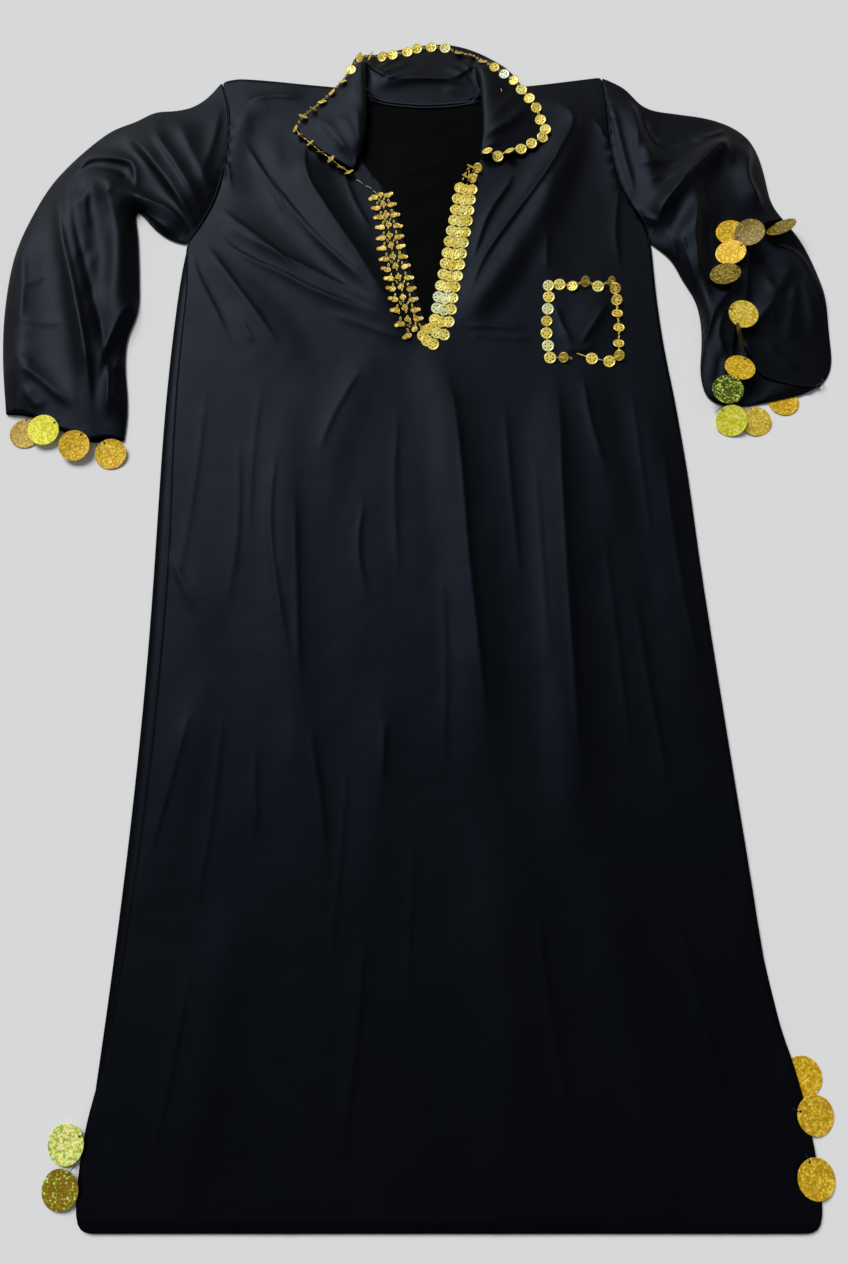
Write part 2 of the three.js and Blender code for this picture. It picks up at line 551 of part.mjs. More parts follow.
coinString('coin_trim_slit_wearer_right', coinsAlong([[-56, 590], [-46, 551], [-41, 506], [-30, 456],
  [-22, 406]], 16, [{ upTo: 1, tilt: 26, toward: 255 }],
{ wobble: 5, row: (t) => ({ wide: mix(20, 28, smooth(t * 3)), deep: 11 }) }));

coinString('coin_trim_slit_wearer_left', coinsAlong([[65, 632], [54, 606], [47, 553], [40, 513], [35, 479],
  [28, 443], [23, 407], [17, 388], [5, 374]], 17, [{ upTo: 0.06, tilt: 30, toward: 60 }, { upTo: 1, tilt: 10, toward: 280 }],
{ wobble: 4, row: (t) => ({ wide: mix(24, 35, smooth(t * 5)), deep: 15 }) }));

// a square of single coins on the wearer's left chest, open for a finger's width at its foot
coinString('coin_trim_chest', [
  ...coinsAlong([[171, 346], [153, 350]], 2, [{ upTo: 1, tilt: 14, toward: 250 }]),
  ...coinsAlong([[152, 368], [155, 435]], 5, [{ upTo: 1, tilt: 6, toward: 180 }], { wobble: 4 }),
  ...coinsAlong([[156, 451], [228, 448]], 5, [{ upTo: 1, tilt: 14, toward: 90 }], { wobble: 10 }),
  ...coinsAlong([[243, 443], [240, 364]], 6, [{ upTo: 1, tilt: 40, toward: 0 }], { wobble: 10 }),
  ...coinsAlong([[234, 349], [196, 352]], 3, [{ upTo: 1, tilt: 14, toward: 260 }], { wobble: 6 }),
]);

// ---- large discs --------------------------------------------------------------------------
// Each hangs by a thread from a hole near its rim. hole is the compass direction of the hole.
const DISCS = [
  { name: 'cuff_disc_wearer_right_1', x: -475, y: 247, tilt: 4, toward: 270, hole: 90 },
  { name: 'cuff_disc_wearer_right_2', x: -451, y: 248, tilt: 10, toward: 270, hole: 35 },
  { name: 'cuff_disc_wearer_right_3', x: -412, y: 227, tilt: 12, toward: 270, hole: 60 },
  { name: 'cuff_disc_wearer_right_4', x: -370, y: 219, tilt: 10, toward: 270, hole: 120 },
  { name: 'cuff_disc_wearer_left_1', x: 388, y: 524, tilt: 5, toward: 200, hole: 20 },
  { name: 'cuff_disc_wearer_left_2', x: 409, y: 519, tilt: 26, toward: 50, hole: 200 },
  { name: 'cuff_disc_wearer_left_3', x: 454, y: 535, tilt: 50, toward: 110, hole: 190 },
  { name: 'cuff_disc_wearer_left_4', x: 384, y: 492, tilt: 8, toward: 230, hole: 30 },
  { name: 'cuff_disc_wearer_left_5', x: 373, y: 458, tilt: 14, toward: 110, hole: 20 },
  { name: 'cuff_disc_wearer_left_6', x: 392, y: 404, tilt: 6, toward: 300, hole: 160 },
  { name: 'cuff_disc_wearer_left_7', x: 383, y: 366, tilt: 50, toward: 0, hole: 150 },
  { name: 'cuff_disc_wearer_left_8', x: 380, y: 328, tilt: 9, toward: 70, hole: 60 },
  { name: 'cuff_disc_wearer_left_9', x: 362, y: 297, tilt: 6, toward: 250, hole: 50 },
  { name: 'cuff_disc_wearer_left_10', x: 397, y: 263, tilt: 8, toward: 300, hole: 110 },
  { name: 'cuff_disc_wearer_left_11', x: 366, y: 261, tilt: 24, toward: 255, hole: 130 },
  { name: 'cuff_disc_wearer_left_12', x: 434, y: 291, tilt: 6, toward: 290, hole: 90 },
  { name: 'hem_disc_wearer_right_1', x: -340, y: -511, tilt: 10, toward: 200, hole: 30 },
  { name: 'hem_disc_wearer_right_2', x: -341, y: -549, tilt: 10, toward: 210, hole: 60 },
  { name: 'hem_disc_wearer_left_1', x: 368, y: -452, tilt: 6, toward: 340, hole: 200 },
  { name: 'hem_disc_wearer_left_2', x: 375, y: -486, tilt: 8, toward: 330, hole: 165 },
  { name: 'hem_disc_wearer_left_3', x: 369, y: -540, tilt: 6, toward: 350, hole: 110 },
];
const discOutline = new THREE.Shape().absarc(0, 0, DISC.across / 2, 0, 2 * Math.PI, false);
discOutline.holes.push(new THREE.Path(new THREE.Path()
  .absarc(DISC.across / 2 - DISC.holeInset, 0, DISC.hole / 2, 0, 2 * Math.PI, true).getPoints(2)));

for (const { name, x, y, tilt, toward, hole } of DISCS) {
  const disc = new THREE.ExtrudeGeometry(discOutline, {
    depth: DISC.thick, bevelEnabled: false, curveSegments: 8,
  });
  const turn = tilted(tilt, toward);
  disc.translate(0, 0, -DISC.thick / 2).rotateZ(THREE.MathUtils.degToRad(hole)).applyQuaternion(turn);
  const underside = [0, 0.5, 1].flatMap((share) => steps(32).map((angle) => new THREE.Vector3(
    Math.cos(angle * 2 * Math.PI) * share * DISC.across / 2,
    Math.sin(angle * 2 * Math.PI) * share * DISC.across / 2, -DISC.thick / 2).applyQuaternion(turn)));
  disc.translate(x, y, restHeight(x, y, underside, turn, DISC, DISC.across / 2));
  cloth.push(add(name, disc, discLook()));
}

// ---- origin: the middle of the outline, on the surface it lies on --------------------------
const box = new THREE.Box3().setFromObject(group);
group.position.set(-(box.min.x + box.max.x) / 2, -(box.min.y + box.max.y) / 2, -box.min.z);
group.updateMatrixWorld(true);

export default group;
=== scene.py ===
"""A dark galabeya with gold coin trim, laid flat on its back.

Metres in the frame: +X to the wearer's left, +Y to the neck, +Z up out of the front.
Places are written in millimetres of the pattern, whose zero is low on the front's middle,
and at() turns them into the frame.
"""
import math
import random

import bmesh
import bpy
import numpy as np
from mathutils import Matrix, Vector
from mathutils.bvhtree import BVHTree
from mathutils.kdtree import KDTree


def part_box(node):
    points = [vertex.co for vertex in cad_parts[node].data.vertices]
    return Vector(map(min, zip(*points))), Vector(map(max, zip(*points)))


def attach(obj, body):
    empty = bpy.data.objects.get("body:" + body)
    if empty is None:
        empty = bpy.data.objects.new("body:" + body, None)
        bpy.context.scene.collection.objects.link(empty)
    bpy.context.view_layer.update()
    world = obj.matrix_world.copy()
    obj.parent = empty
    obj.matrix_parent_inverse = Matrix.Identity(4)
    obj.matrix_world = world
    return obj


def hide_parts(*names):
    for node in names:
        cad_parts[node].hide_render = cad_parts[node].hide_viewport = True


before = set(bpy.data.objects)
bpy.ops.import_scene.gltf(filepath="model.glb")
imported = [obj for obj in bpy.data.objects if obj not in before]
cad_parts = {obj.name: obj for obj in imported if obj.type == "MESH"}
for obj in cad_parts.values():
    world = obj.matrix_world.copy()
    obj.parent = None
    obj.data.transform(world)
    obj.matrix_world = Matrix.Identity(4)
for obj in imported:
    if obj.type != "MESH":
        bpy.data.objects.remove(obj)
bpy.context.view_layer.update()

# ---- The surface, the light and the view ------------------------------------------------------
# The robe lies on a pale floor. One wide soft lamp shines from beyond the wearer's right
# shoulder, so the sheen is strongest there and dies away towards the hem.

# this cuff disc lies at a known place of the pattern, which gives the pattern's zero
KNOWN_DISC = "cuff_disc_wearer_right_1"
KNOWN_DISC_PLACE = Vector((-0.475, 0.247, 0))
disc_low, disc_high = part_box(KNOWN_DISC)
ZERO = (Vector(disc_low) + Vector(disc_high)) / 2 - KNOWN_DISC_PLACE
ZERO.z = 0


def at(x, y, z=0.0):
    """A place of the pattern, in millimetres, as metres in the frame."""
    return ZERO + Vector((x, y, z)) / 1000


def in_scene(name, data):
    """A new object, linked to the scene."""
    made = bpy.data.objects.new(name, data)
    bpy.context.collection.objects.link(made)
    return made


CAMERA_PLACE = at(0, -313.4, 1000)
CAMERA_TILT = 17.4                       # degrees off straight down, towards the neck
SENSOR_HEIGHT = 36
LENS = 940 / 1264 * SENSOR_HEIGHT        # 940 of the view's 1264 rows

camera = in_scene("camera", bpy.data.cameras.new("camera"))
camera.location = CAMERA_PLACE
camera.rotation_euler = (math.radians(CAMERA_TILT), 0, 0)
camera.data.sensor_fit = "VERTICAL"
camera.data.sensor_height = SENSOR_HEIGHT
camera.data.lens = LENS
camera.data.clip_end = 50
bpy.context.scene.camera = camera

FLOOR_DROP = 0.0004                      # keeps the floor just off the underside
bpy.ops.mesh.primitive_plane_add(size=9, location=(0, 0, -FLOOR_DROP))
floor = bpy.context.object
floor.name = "floor"
floor_finish = bpy.data.materials.new("pale floor")
floor_finish.use_nodes = True
floor_shader = floor_finish.node_tree.nodes["Principled BSDF"]
for label, value in (("Base Color", (0.78, 0.78, 0.78, 1)), ("Roughness", 0.9),
                     ("Specular IOR Level", 0.1)):
    floor_shader.inputs[label].default_value = value
floor.data.materials.append(floor_finish)

world = bpy.data.worlds.new("studio")
world.use_nodes = True
sky = world.node_tree.nodes["Background"]
sky.inputs["Color"].default_value = (0.94, 0.97, 1.0, 1)
sky.inputs["Strength"].default_value = 0.22
bpy.context.scene.world = world
bpy.context.scene.view_settings.view_transform = "Standard"

TOWARD_WINDOW = Vector((-0.41, 0.57, 0.71))
WINDOW_SPREAD = 34                       # the lamp's width as the robe sees it, in degrees

window = in_scene("window", bpy.data.lights.new("window", "SUN"))
window.data.energy = 2.95
window.data.angle = math.radians(WINDOW_SPREAD)
window.rotation_euler = TOWARD_WINDOW.to_track_quat("Z", "Y").to_euler()


# ---- The cloth: stretch jersey ----------------------------------------------------------------
# Near-black navy polyester jersey with a soft satin face. Every piece is a thin shell that
# keeps to its solid's form, and its creases are laid in from tables.

class Socket:
    """A shader value that takes part in sums."""

    def __init__(self, finish, socket):
        self.finish, self.socket = finish, socket

    def maths(self, operation, first, second):
        return self.finish.node("ShaderNodeMath", {"operation": operation}, {0: first, 1: second})

    def output(self, name):
        """Another output of the same node."""
        return Socket(self.finish, self.socket.node.outputs[name])

    def __add__(self, other):
        return self.maths("ADD", self, other)

    def __sub__(self, other):
        return self.maths("SUBTRACT", self, other)

    def __rsub__(self, other):
        return self.maths("SUBTRACT", other, self)

    def __mul__(self, other):
        return self.maths("MULTIPLY", self, other)

    __radd__ = __add__
    __rmul__ = __mul__


class Finish:
    """A material, and the one way in which its nodes are made."""

    def __init__(self, name):
        self.material = bpy.data.materials.new(name)
        self.material.use_nodes = True
        self.nodes = self.material.node_tree.nodes
        self.shader = self.nodes["Principled BSDF"]

    def plug(self, node, key, value):
        if isinstance(value, Socket):
            self.material.node_tree.links.new(value.socket, node.inputs[key])
        else:
            node.inputs[key].default_value = value

    def node(self, kind, settings=None, inputs=None, output=0):
        made = self.nodes.new(kind)
        for key, value in (settings or {}).items():
            if key == "stops":
                while len(made.color_ramp.elements) < len(value):
                    made.color_ramp.elements.new(1)
                for element, (place, colour) in zip(made.color_ramp.elements, value):
                    element.position, element.color = place, (*colour, 1)
            else:
                setattr(made, key, value)
        for key, value in (inputs or {}).items():
            self.plug(made, key, value)
        return Socket(self, made.outputs[output])

    def surface(self, **inputs):
        for key, value in inputs.items():
            self.plug(self.shader, key.replace("_", " "), value)
        return self.material

    def place(self):
        return self.node("ShaderNodeTexCoord", output="Object")

    def noise(self, scale, detail=2, roughness=0.5):
        return self.node("ShaderNodeTexNoise", {}, {"Vector": self.place(), "Scale": scale,
                                                   "Detail": detail, "Roughness": roughness})

    def ramp(self, value, stops):
        return self.node("ShaderNodeValToRGB", {"stops": stops}, {"Fac": value})

    def bump(self, height, strength, distance):
        return self.node("ShaderNodeBump", {}, {"Height": height, "Strength": strength,
                                               "Distance": distance})


SATIN_TINT = (0.50, 0.67, 1.0, 1)        # the sheen is bluer than the lamp


def jersey(name, dark, light, rough, shine):
    """Knit cloth: fine columns of loops, a faint uneven dye, a face worn a little duller in
    places, and slight waves where it doesn't lie quite flat. Scales are to the metre."""
    finish = Finish(name)
    place = finish.place()
    dye = finish.noise(9, 3)
    columns = finish.node("ShaderNodeTexWave", {"wave_type": "BANDS", "bands_direction": "X"},
                          {"Vector": place, "Scale": 380.0, "Distortion": 1.5, "Detail": 1.0,
                           "Detail Scale": 2.0}, output="Fac")
    loops = finish.noise(1400, 1)
    waves = finish.noise(16, 3, 0.45)
    relief = columns * 0.35 + loops * 0.3 + waves * 12
    rough_at = finish.noise(24, 2) * 0.10 + (rough - 0.05)
    return finish.surface(
        Base_Color=finish.ramp(dye, [(0.3, dark), (0.75, light)]),
        Roughness=rough_at, Specular_IOR_Level=shine, Specular_Tint=SATIN_TINT,
        Normal=finish.bump(relief, 0.35, 0.0003))


CLOTH = jersey("navy jersey", (0.0006, 0.0005, 0.0006), (0.0013, 0.0011, 0.0014), 0.48, 0.115)
INNER_FACE = jersey("jersey inner face", (0.0011, 0.0009, 0.0006), (0.0020, 0.0017, 0.0011),
                    0.6, 0.02)


def smooth(value):
    """Eases a value from 0 to 1, level at both ends."""
    value = np.clip(value, 0, 1)
    return value * value * (3 - 2 * value)


def rounded(points, pieces=5):
    """A smooth line through points, as more points."""
    points = [np.array(point, float) for point in points]
    ends = [2 * points[0] - points[1], *points, 2 * points[-1] - points[-2]]
    line = []
    for p0, p1, p2, p3 in zip(ends, ends[1:], ends[2:], ends[3:]):
        for step in range(pieces):
            t = step / pieces
            line.append(0.5 * (2 * p1 + (p2 - p0) * t + (2 * p0 - 5 * p1 + 4 * p2 - p3) * t * t
                               + (3 * p1 - p0 - 3 * p2 + p3) * t ** 3))
    return np.array([*line, points[-1]])


def walked_on(line):
    """How far along a line each of its points lies."""
    return np.concatenate([[0], np.cumsum(np.hypot(*(line[1:] - line[:-1]).T))])


WIDTHS_REACHED = 4.5                     # a crease is lost beyond so many of its widths
ENDS_FADE = 0.3                          # the share of a crease's length that fades at each end
CREST = 1.3                              # how round its crest is, in millimetres


def crease_lift(spots, creases):
    """How far creases lift the cloth at spots, all in millimetres. A crease is its path, its
    rise, below zero for a valley, and how soon it runs out on the left and on the right of
    the path. Paths run down the robe, so the left is the steep side, away from the window."""
    lift = np.zeros(len(spots))
    for path, rise, left, right in creases:
        line = rounded(path)
        steps = line[1:] - line[:-1]
        lengths = np.hypot(*steps.T)
        walked = walked_on(line)
        reach = WIDTHS_REACHED * max(left, right)
        low, high = line.min(0) - reach, line.max(0) + reach
        near = np.flatnonzero(((spots > low) & (spots < high)).all(1))
        if not len(near):
            continue
        nearest = np.full(len(near), 1e9)
        side = np.zeros(len(near))
        along = np.zeros(len(near))
        for start, step, length, before in zip(line, steps, lengths, walked):
            away = spots[near] - start
            share = np.clip(away @ step / length ** 2, 0, 1)
            distance = np.hypot(*(away - share[:, None] * step).T)
            closer = distance < nearest
            nearest = np.where(closer, distance, nearest)
            side = np.where(closer, away[:, 0] * step[1] - away[:, 1] * step[0], side)
            along = np.where(closer, before + share * length, along)
        width = np.where(side > 0, right, left)
        end = ENDS_FADE * walked[-1]
        fade = smooth(along / end) * smooth((walked[-1] - along) / end)
        round_crest = np.sqrt(nearest ** 2 + CREST ** 2) - CREST
        lift[near] += rise * fade * np.exp(-round_crest / width)
    return lift


def rumple(spots, amount):
    """The slight unevenness of cloth that was smoothed out by hand, in slow waves."""
    x, y = spots[:, 0], spots[:, 1]
    return amount * (np.sin(x / 31 + np.sin(y / 83)) * np.sin(y / 117 + 1)
                     + 0.6 * np.sin(x / 17 + y / 61) + 0.35 * np.sin(x / 9 - y / 29)
                     * np.sin(y / 47 + x / 71))


def poured(shape, mesh):
    """Puts a bmesh into a mesh and frees it."""
    shape.to_mesh(mesh)
    shape.free()
    return mesh


def opened(mesh):
    """A mesh as a bmesh."""
    shape = bmesh.new()
    shape.from_mesh(mesh)
    return shape


def split_near(piece, creases):
    """Halves the mesh beside creases, so that they can be crisp."""
    near = crease_lift(points_of(piece)[:, :2], [(path, 1, 3, 4) for path, *_ in creases]) > 0.1
    shape = opened(piece.data)
    edges = [edge for edge in shape.edges if all(near[vert.index] for vert in edge.verts)]
    bmesh.ops.subdivide_edges(shape, edges=edges, cuts=1, use_grid_fill=True)
    poured(shape, piece.data)


def settle(piece):
    """Turns what a piece's modifiers make of it into its own plain mesh, and removes them."""
    made = bpy.data.meshes.new_from_object(
        piece.evaluated_get(bpy.context.evaluated_depsgraph_get()))
    piece.modifiers.clear()
    piece.data = made
    return made


WALL = 0.0018                            # nothing but a wall's edge has sides as short as this


def shell_from(node, name, levels):
    """A smooth shell on a solid's form, with the edges of its wall kept sharp. Also returns
    the places of its edge, for keeping seams down."""
    shape = opened(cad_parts[node].data)
    bmesh.ops.remove_doubles(shape, verts=shape.verts, dist=1e-5)
    bmesh.ops.join_triangles(shape, faces=shape.faces, angle_face_threshold=math.pi,
                             angle_shape_threshold=math.pi)
    crease = shape.edges.layers.float.new("crease_edge")
    rim = set()
    for face in shape.faces:
        if min(edge.calc_length() for edge in face.edges) < WALL:
            for edge in face.edges:
                if edge.calc_length() > WALL:
                    edge[crease] = 1
                    rim.update(edge.verts)
    edge_spots = [vert.co.copy() for vert in rim]
    piece = in_scene(name, poured(shape, bpy.data.meshes.new(name)))
    rounding = piece.modifiers.new("rounding", "SUBSURF")
    rounding.levels = rounding.render_levels = levels
    shell = settle(piece)
    shell.name = name
    shell.materials.clear()
    shell.materials.append(CLOTH)
    shell.shade_smooth()
    shell.set_sharp_from_angle(angle=math.radians(55))
    tree = KDTree(len(edge_spots))
    for i, spot in enumerate(edge_spots):
        tree.insert(spot, i)
    tree.balance()
    return piece, tree


def points_of(piece):
    """Its points in millimetres of the pattern."""
    flat = np.empty(len(piece.data.vertices) * 3)
    piece.data.vertices.foreach_get("co", flat)
    return (flat.reshape(-1, 3) - np.array(ZERO)) * 1000


def put_points(piece, points):
    """Moves its points to places in millimetres of the pattern."""
    piece.data.vertices.foreach_set("co", (points / 1000 + np.array(ZERO)).ravel())
    piece.data.update()


def from_edge(piece, tree):
    """How far each point lies from the piece's edge, in millimetres."""
    return np.array([tree.find(vert.co)[2] for vert in piece.data.vertices]) * 1000


EDGE_KEPT = 3                            # so near to its edge a shell isn't ironed, in millimetres


def iron(piece, tree, turns):
    """Evens out a shell away from its edge, so that creases run over the steep places too."""
    inside = from_edge(piece, tree) > EDGE_KEPT
    shape = opened(piece.data)
    inner = [vert for vert in shape.verts if inside[vert.index]]
    for turn in range(turns):
        bmesh.ops.smooth_vert(shape, verts=inner, factor=0.5, use_axis_x=False, use_axis_y=False,
                              use_axis_z=True)
    poured(shape, piece.data)


def surface_of(piece):
    """Its faces as a tree that rays can be cast at."""
    return BVHTree.FromPolygons([vert.co[:] for vert in piece.data.vertices],
                                [tuple(face.vertices) for face in piece.data.polygons])


def hand_over(piece, node=None):
    """Fixes a finished piece to the robe, in place of its solid where it has one."""
    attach(piece, "root")
    if node:
        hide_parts(node)


def declare_cloth(piece, node):
    """Hands over a sheet."""
    hand_over(piece, node)


# ---- Back -------------------------------------------------------------------------------------
# Cut in one piece from shoulder to hem. It lies flat; in the open neck its inner face shows,
# with faint slanting drag lines, and down the wearer's right its outer face wraps the side.

BACK_CREASES = [
    # path, rise, width on its left, width on its right
    ([(-60, 655), (-10, 668), (62, 690)], 2.0, 7, 10),
    ([(-66, 622), (0, 640), (66, 668)], 2.4, 8, 11),
    ([(-50, 590), (-4, 602), (52, 628)], 2.0, 7, 10),
    ([(-34, 540), (0, 556), (36, 590)], 1.6, 6, 9),
    ([(-64, 700), (-10, 704), (66, 722)], 1.5, 6, 8),
    ([(-16, 480), (2, 496), (26, 530)], 1.2, 5, 8),
]
TUCKED_AT_HEM = (368, -452)              # one disc hangs inside the hem, which rises over it
NECK_HALF = 120                          # the open neck, where the inner face shows, reaches
NECK_FOOT, NECK_TOP = 340, 752           # so far to each side, and from its foot to its top


def rise_over_disc(spots, place):
    """How far cloth is lifted that lies on a disc, whose middle is at place."""
    height, radius, slope = 1.3, 28, 8
    away = np.hypot(spots[:, 0] - place[0], spots[:, 1] - place[1])
    return height * smooth((radius - away) / slope)


back = shell_from("back_panel", "back_cloth", 2)[0]
spots = points_of(back)
spots[:, 2] += (np.maximum(crease_lift(spots[:, :2], BACK_CREASES), 0)
                + rise_over_disc(spots, TUCKED_AT_HEM))
put_points(back, spots)
back.data.materials.append(INNER_FACE)
for face in back.data.polygons:
    place = (face.center - ZERO) * 1000
    face.material_index = int(abs(place.x) < NECK_HALF and NECK_FOOT < place.y < NECK_TOP)
declare_cloth(back, "back_panel")


# ---- Collar -----------------------------------------------------------------------------------
# One wide strip with two points, doubled and turned out. It lies open behind the neck, and its
# two leaves roll over on to the front.

COLLAR_CREASES = [
    # right leaf's roll and knot, and the folds that fan up the leaf from the knot
    ([(-92, 644), (-117, 680), (-144, 718)], 3.4, 3, 8),
    ([(-87, 647), (-97, 685), (-114, 718)], 2.6, 3, 6),
    ([(-84, 652), (-86, 690), (-92, 730)], 2.4, 4, 5),
    ([(-77, 672), (-78, 653), (-89, 632)], 3.6, 2.2, 2.6),
    ([(-84, 656), (-86, 645), (-92, 634)], 2.6, 2, 2.4),
    ([(-98, 660), (-112, 664), (-128, 672)], 1.2, 3, 5),
    ([(-88, 740), (-97, 764), (-92, 800)], 1.6, 6, 7),
    # left leaf: one long ridge that sweeps down to its front end
    ([(136, 744), (129, 722), (113, 702), (96, 690), (76, 676)], 3.4, 4, 8),
    ([(100, 676), (88, 668), (76, 660)], 1.6, 4, 4),
    ([(84, 700), (104, 728), (128, 756)], 1.2, 7, 8),
    # behind the neck: gathers that open out from both ends
    ([(-76, 762), (-44, 776), (-4, 782), (44, 778), (72, 764)], 3.0, 8, 7),
    ([(-76, 768), (-50, 796), (-20, 814)], 3.2, 3, 6),
    ([(-72, 780), (-56, 806), (-38, 826)], 2.4, 3, 5),
    ([(-74, 764), (-40, 786), (8, 800)], 2.6, 3, 5),
    ([(72, 766), (52, 790), (24, 810)], 2.4, 6, 4),
    ([(70, 776), (60, 800), (44, 824)], 2.0, 5, 5),
    ([(76, 760), (50, 764), (22, 768)], 1.4, 4, 5),
]
collar, collar_edge = shell_from("collar", "collar_cloth", 3)
spots = points_of(collar)
room = smooth(from_edge(collar, collar_edge) / 6)
spots[:, 2] += crease_lift(spots[:, :2], COLLAR_CREASES) * room
spots[:, 2] = np.maximum(spots[:, 2], 0.15)
put_points(collar, spots)
iron(collar, collar_edge, 5)
declare_cloth(collar, "collar")


# ---- Front ------------------------------------------------------------------------------------
# Cut in one piece with a slit down to the chest. It is stretched between the collar points and
# the foot of the slit, so its folds run from there to the armholes and down the skirt.

FRONT_CREASES = [
    # path, rise, steep side, gentle side: wearer's right chest
    ([(-160, 700), (-152, 623), (-128, 574), (-86, 505), (-58, 453), (-26, 403)], 3.6, 2.2, 8),
    ([(-211, 641), (-182, 588), (-143, 533), (-97, 479), (-58, 439)], 3.2, 2.4, 9),
    ([(-243, 689), (-220, 647), (-191, 593), (-166, 537)], 2.4, 2.2, 8),
    ([(-270, 580), (-240, 549), (-197, 513), (-157, 471)], 2.8, 2.2, 8),
    ([(-280, 550), (-237, 505), (-180, 472), (-123, 439), (-41, 404)], 3.0, 2.4, 9),
    ([(-268, 553), (-198, 509), (-124, 466), (-46, 414)], 2.2, 2.2, 7),
    ([(-284, 526), (-240, 459), (-204, 407), (-169, 351)], 2.6, 2.4, 9),
    ([(-298, 513), (-285, 471), (-262, 424), (-233, 362)], 2.0, 2.2, 8),
    ([(-229, 410), (-218, 388), (-207, 367)], 1.4, 2.2, 6),
    ([(-255, 735), (-260, 676), (-257, 631), (-247, 593)], 3.0, 3, 8),
    ([(-160, 752), (-202, 756), (-246, 745)], 2.4, 2.5, 7),
    ([(-180, 712), (-160, 680), (-128, 640)], 1.8, 2.4, 7),
    ([(-108, 640), (-92, 590), (-64, 530)], 1.6, 2.4, 6),
    ([(-130, 420), (-70, 394), (-20, 372)], 1.5, 2.4, 7),
    # wearer's left chest
    ([(150, 752), (183, 743), (199, 714), (177, 659), (158, 623), (116, 560), (75, 492), (47, 414)],
     4.2, 2.4, 10),
    ([(120, 640), (109, 609), (82, 560), (59, 485)], 3.0, 2.4, 7),
    ([(219, 733), (245, 678), (251, 598)], 2.6, 2.6, 7),
    ([(158, 545), (155, 472)], 1.5, 2.5, 7),
    ([(133, 391), (90, 395), (46, 395)], 1.8, 2.2, 5),
    ([(140, 374), (96, 379), (48, 384)], 1.3, 2.2, 5),
    ([(232, 436), (212, 400), (190, 364)], 2.4, 2.2, 5),
    ([(163, 430), (172, 394), (184, 366)], 2.0, 2.2, 5),
    ([(214, 368), (190, 360), (166, 363)], 1.8, 2.2, 4),
    ([(260, 640), (246, 540), (250, 470)], 1.6, 3, 8),
    # skirt
    ([(14, 352), (35, 296), (45, 200), (51, 98), (60, -4), (70, -140)], 2.4, 2.2, 6.2),
    ([(156, 340), (163, 272), (162, 190), (163, 60), (165, -58), (167, -190)], 2.4, 2.2, 6.2),
    ([(193, 332), (198, 272), (214, 190)], 1.5, 2.2, 4.3),
    ([(-72, 345), (-108, 272), (-127, 213)], 1.5, 2.2, 5.0),
    ([(-292, 98), (-272, 58), (-251, 23)], 1.9, 2.2, 3.7),
    ([(-249, -74), (-267, -160), (-287, -259)], 1.7, 2.2, 3.7),
    ([(-173, 257), (-176, 117), (-142, -62)], 1.7, 2.2, 5.6),
    ([(-152, 186), (-146, 98), (-135, -79)], 1.3, 2.2, 4.3),
    ([(-125, -101), (-109, -183), (-100, -255)], 1.5, 2.2, 4.3),
    ([(-68, 176), (-75, 98), (-60, 32)], 1.3, 2.2, 4.3),
    ([(282, 257), (290, 78), (307, -79)], 1.5, 2.2, 5.6),
    ([(-182, -117), (-174, -235)], 1.3, 2.2, 4.3),
    ([(-42, -92), (-44, -175)], 1.3, 2.2, 4.3),
    ([(-220, 250), (-214, 120), (-222, 20)], 1.0, 2.2, 5.6),
    ([(96, 300), (102, 180), (110, 40)], 1.0, 2.2, 5.6),
    ([(236, 60), (246, -60), (262, -200)], 1.0, 2.2, 6.2),
    ([(-232, -330), (-244, -440), (-262, -560)], 1.3, 2.2, 8.7),
    ([(-60, -300), (-66, -420), (-84, -560)], 1.1, 2.2, 8.7),
    ([(110, -260), (126, -400), (150, -560)], 1.3, 2.2, 8.7),
    ([(250, -260), (276, -400), (300, -540)], 1.1, 2.2, 8.7),
    # slight upright streaks
    ([(-262, 330), (-268, 180), (-280, 30)], 0.8, 2, 5),
    ([(-196, 330), (-202, 210), (-200, 90)], 0.8, 2, 5),
    ([(-30, 300), (-34, 180), (-28, 40)], 0.8, 2, 5),
    ([(20, 100), (24, -40), (20, -180)], 0.7, 2, 5),
    ([(130, 240), (134, 100), (138, -60)], 0.7, 2, 5),
    ([(-216, -60), (-222, -200), (-236, -330)], 0.8, 2, 5),
    ([(-80, -120), (-86, -240), (-96, -380)], 0.7, 2, 5),
    ([(206, 140), (214, 0), (222, -160)], 0.7, 2, 5),
    ([(-10, -200), (-14, -320), (-20, -450)], 0.6, 2, 6),
    ([(250, 330), (256, 200), (262, 90)], 0.7, 2, 5),
]
LOWEST = 1.5                             # the front never sinks into the back under it
FRONT_WALL = 1.1                         # and its outer face stays so far above its inner one
UNDER_COLLAR = 2.4                       # its folds keep so far below the collar
COLLAR_FOOT = 600                        # whose leaves lie over it from here up

front, front_edge = shell_from("front_panel", "front_cloth", 2)
split_near(front, FRONT_CREASES)
spots = points_of(front)
room = smooth(from_edge(front, front_edge) / 12)
lift = (crease_lift(spots[:, :2], FRONT_CREASES) + rumple(spots, 0.25)) * room
under_collar = surface_of(collar)
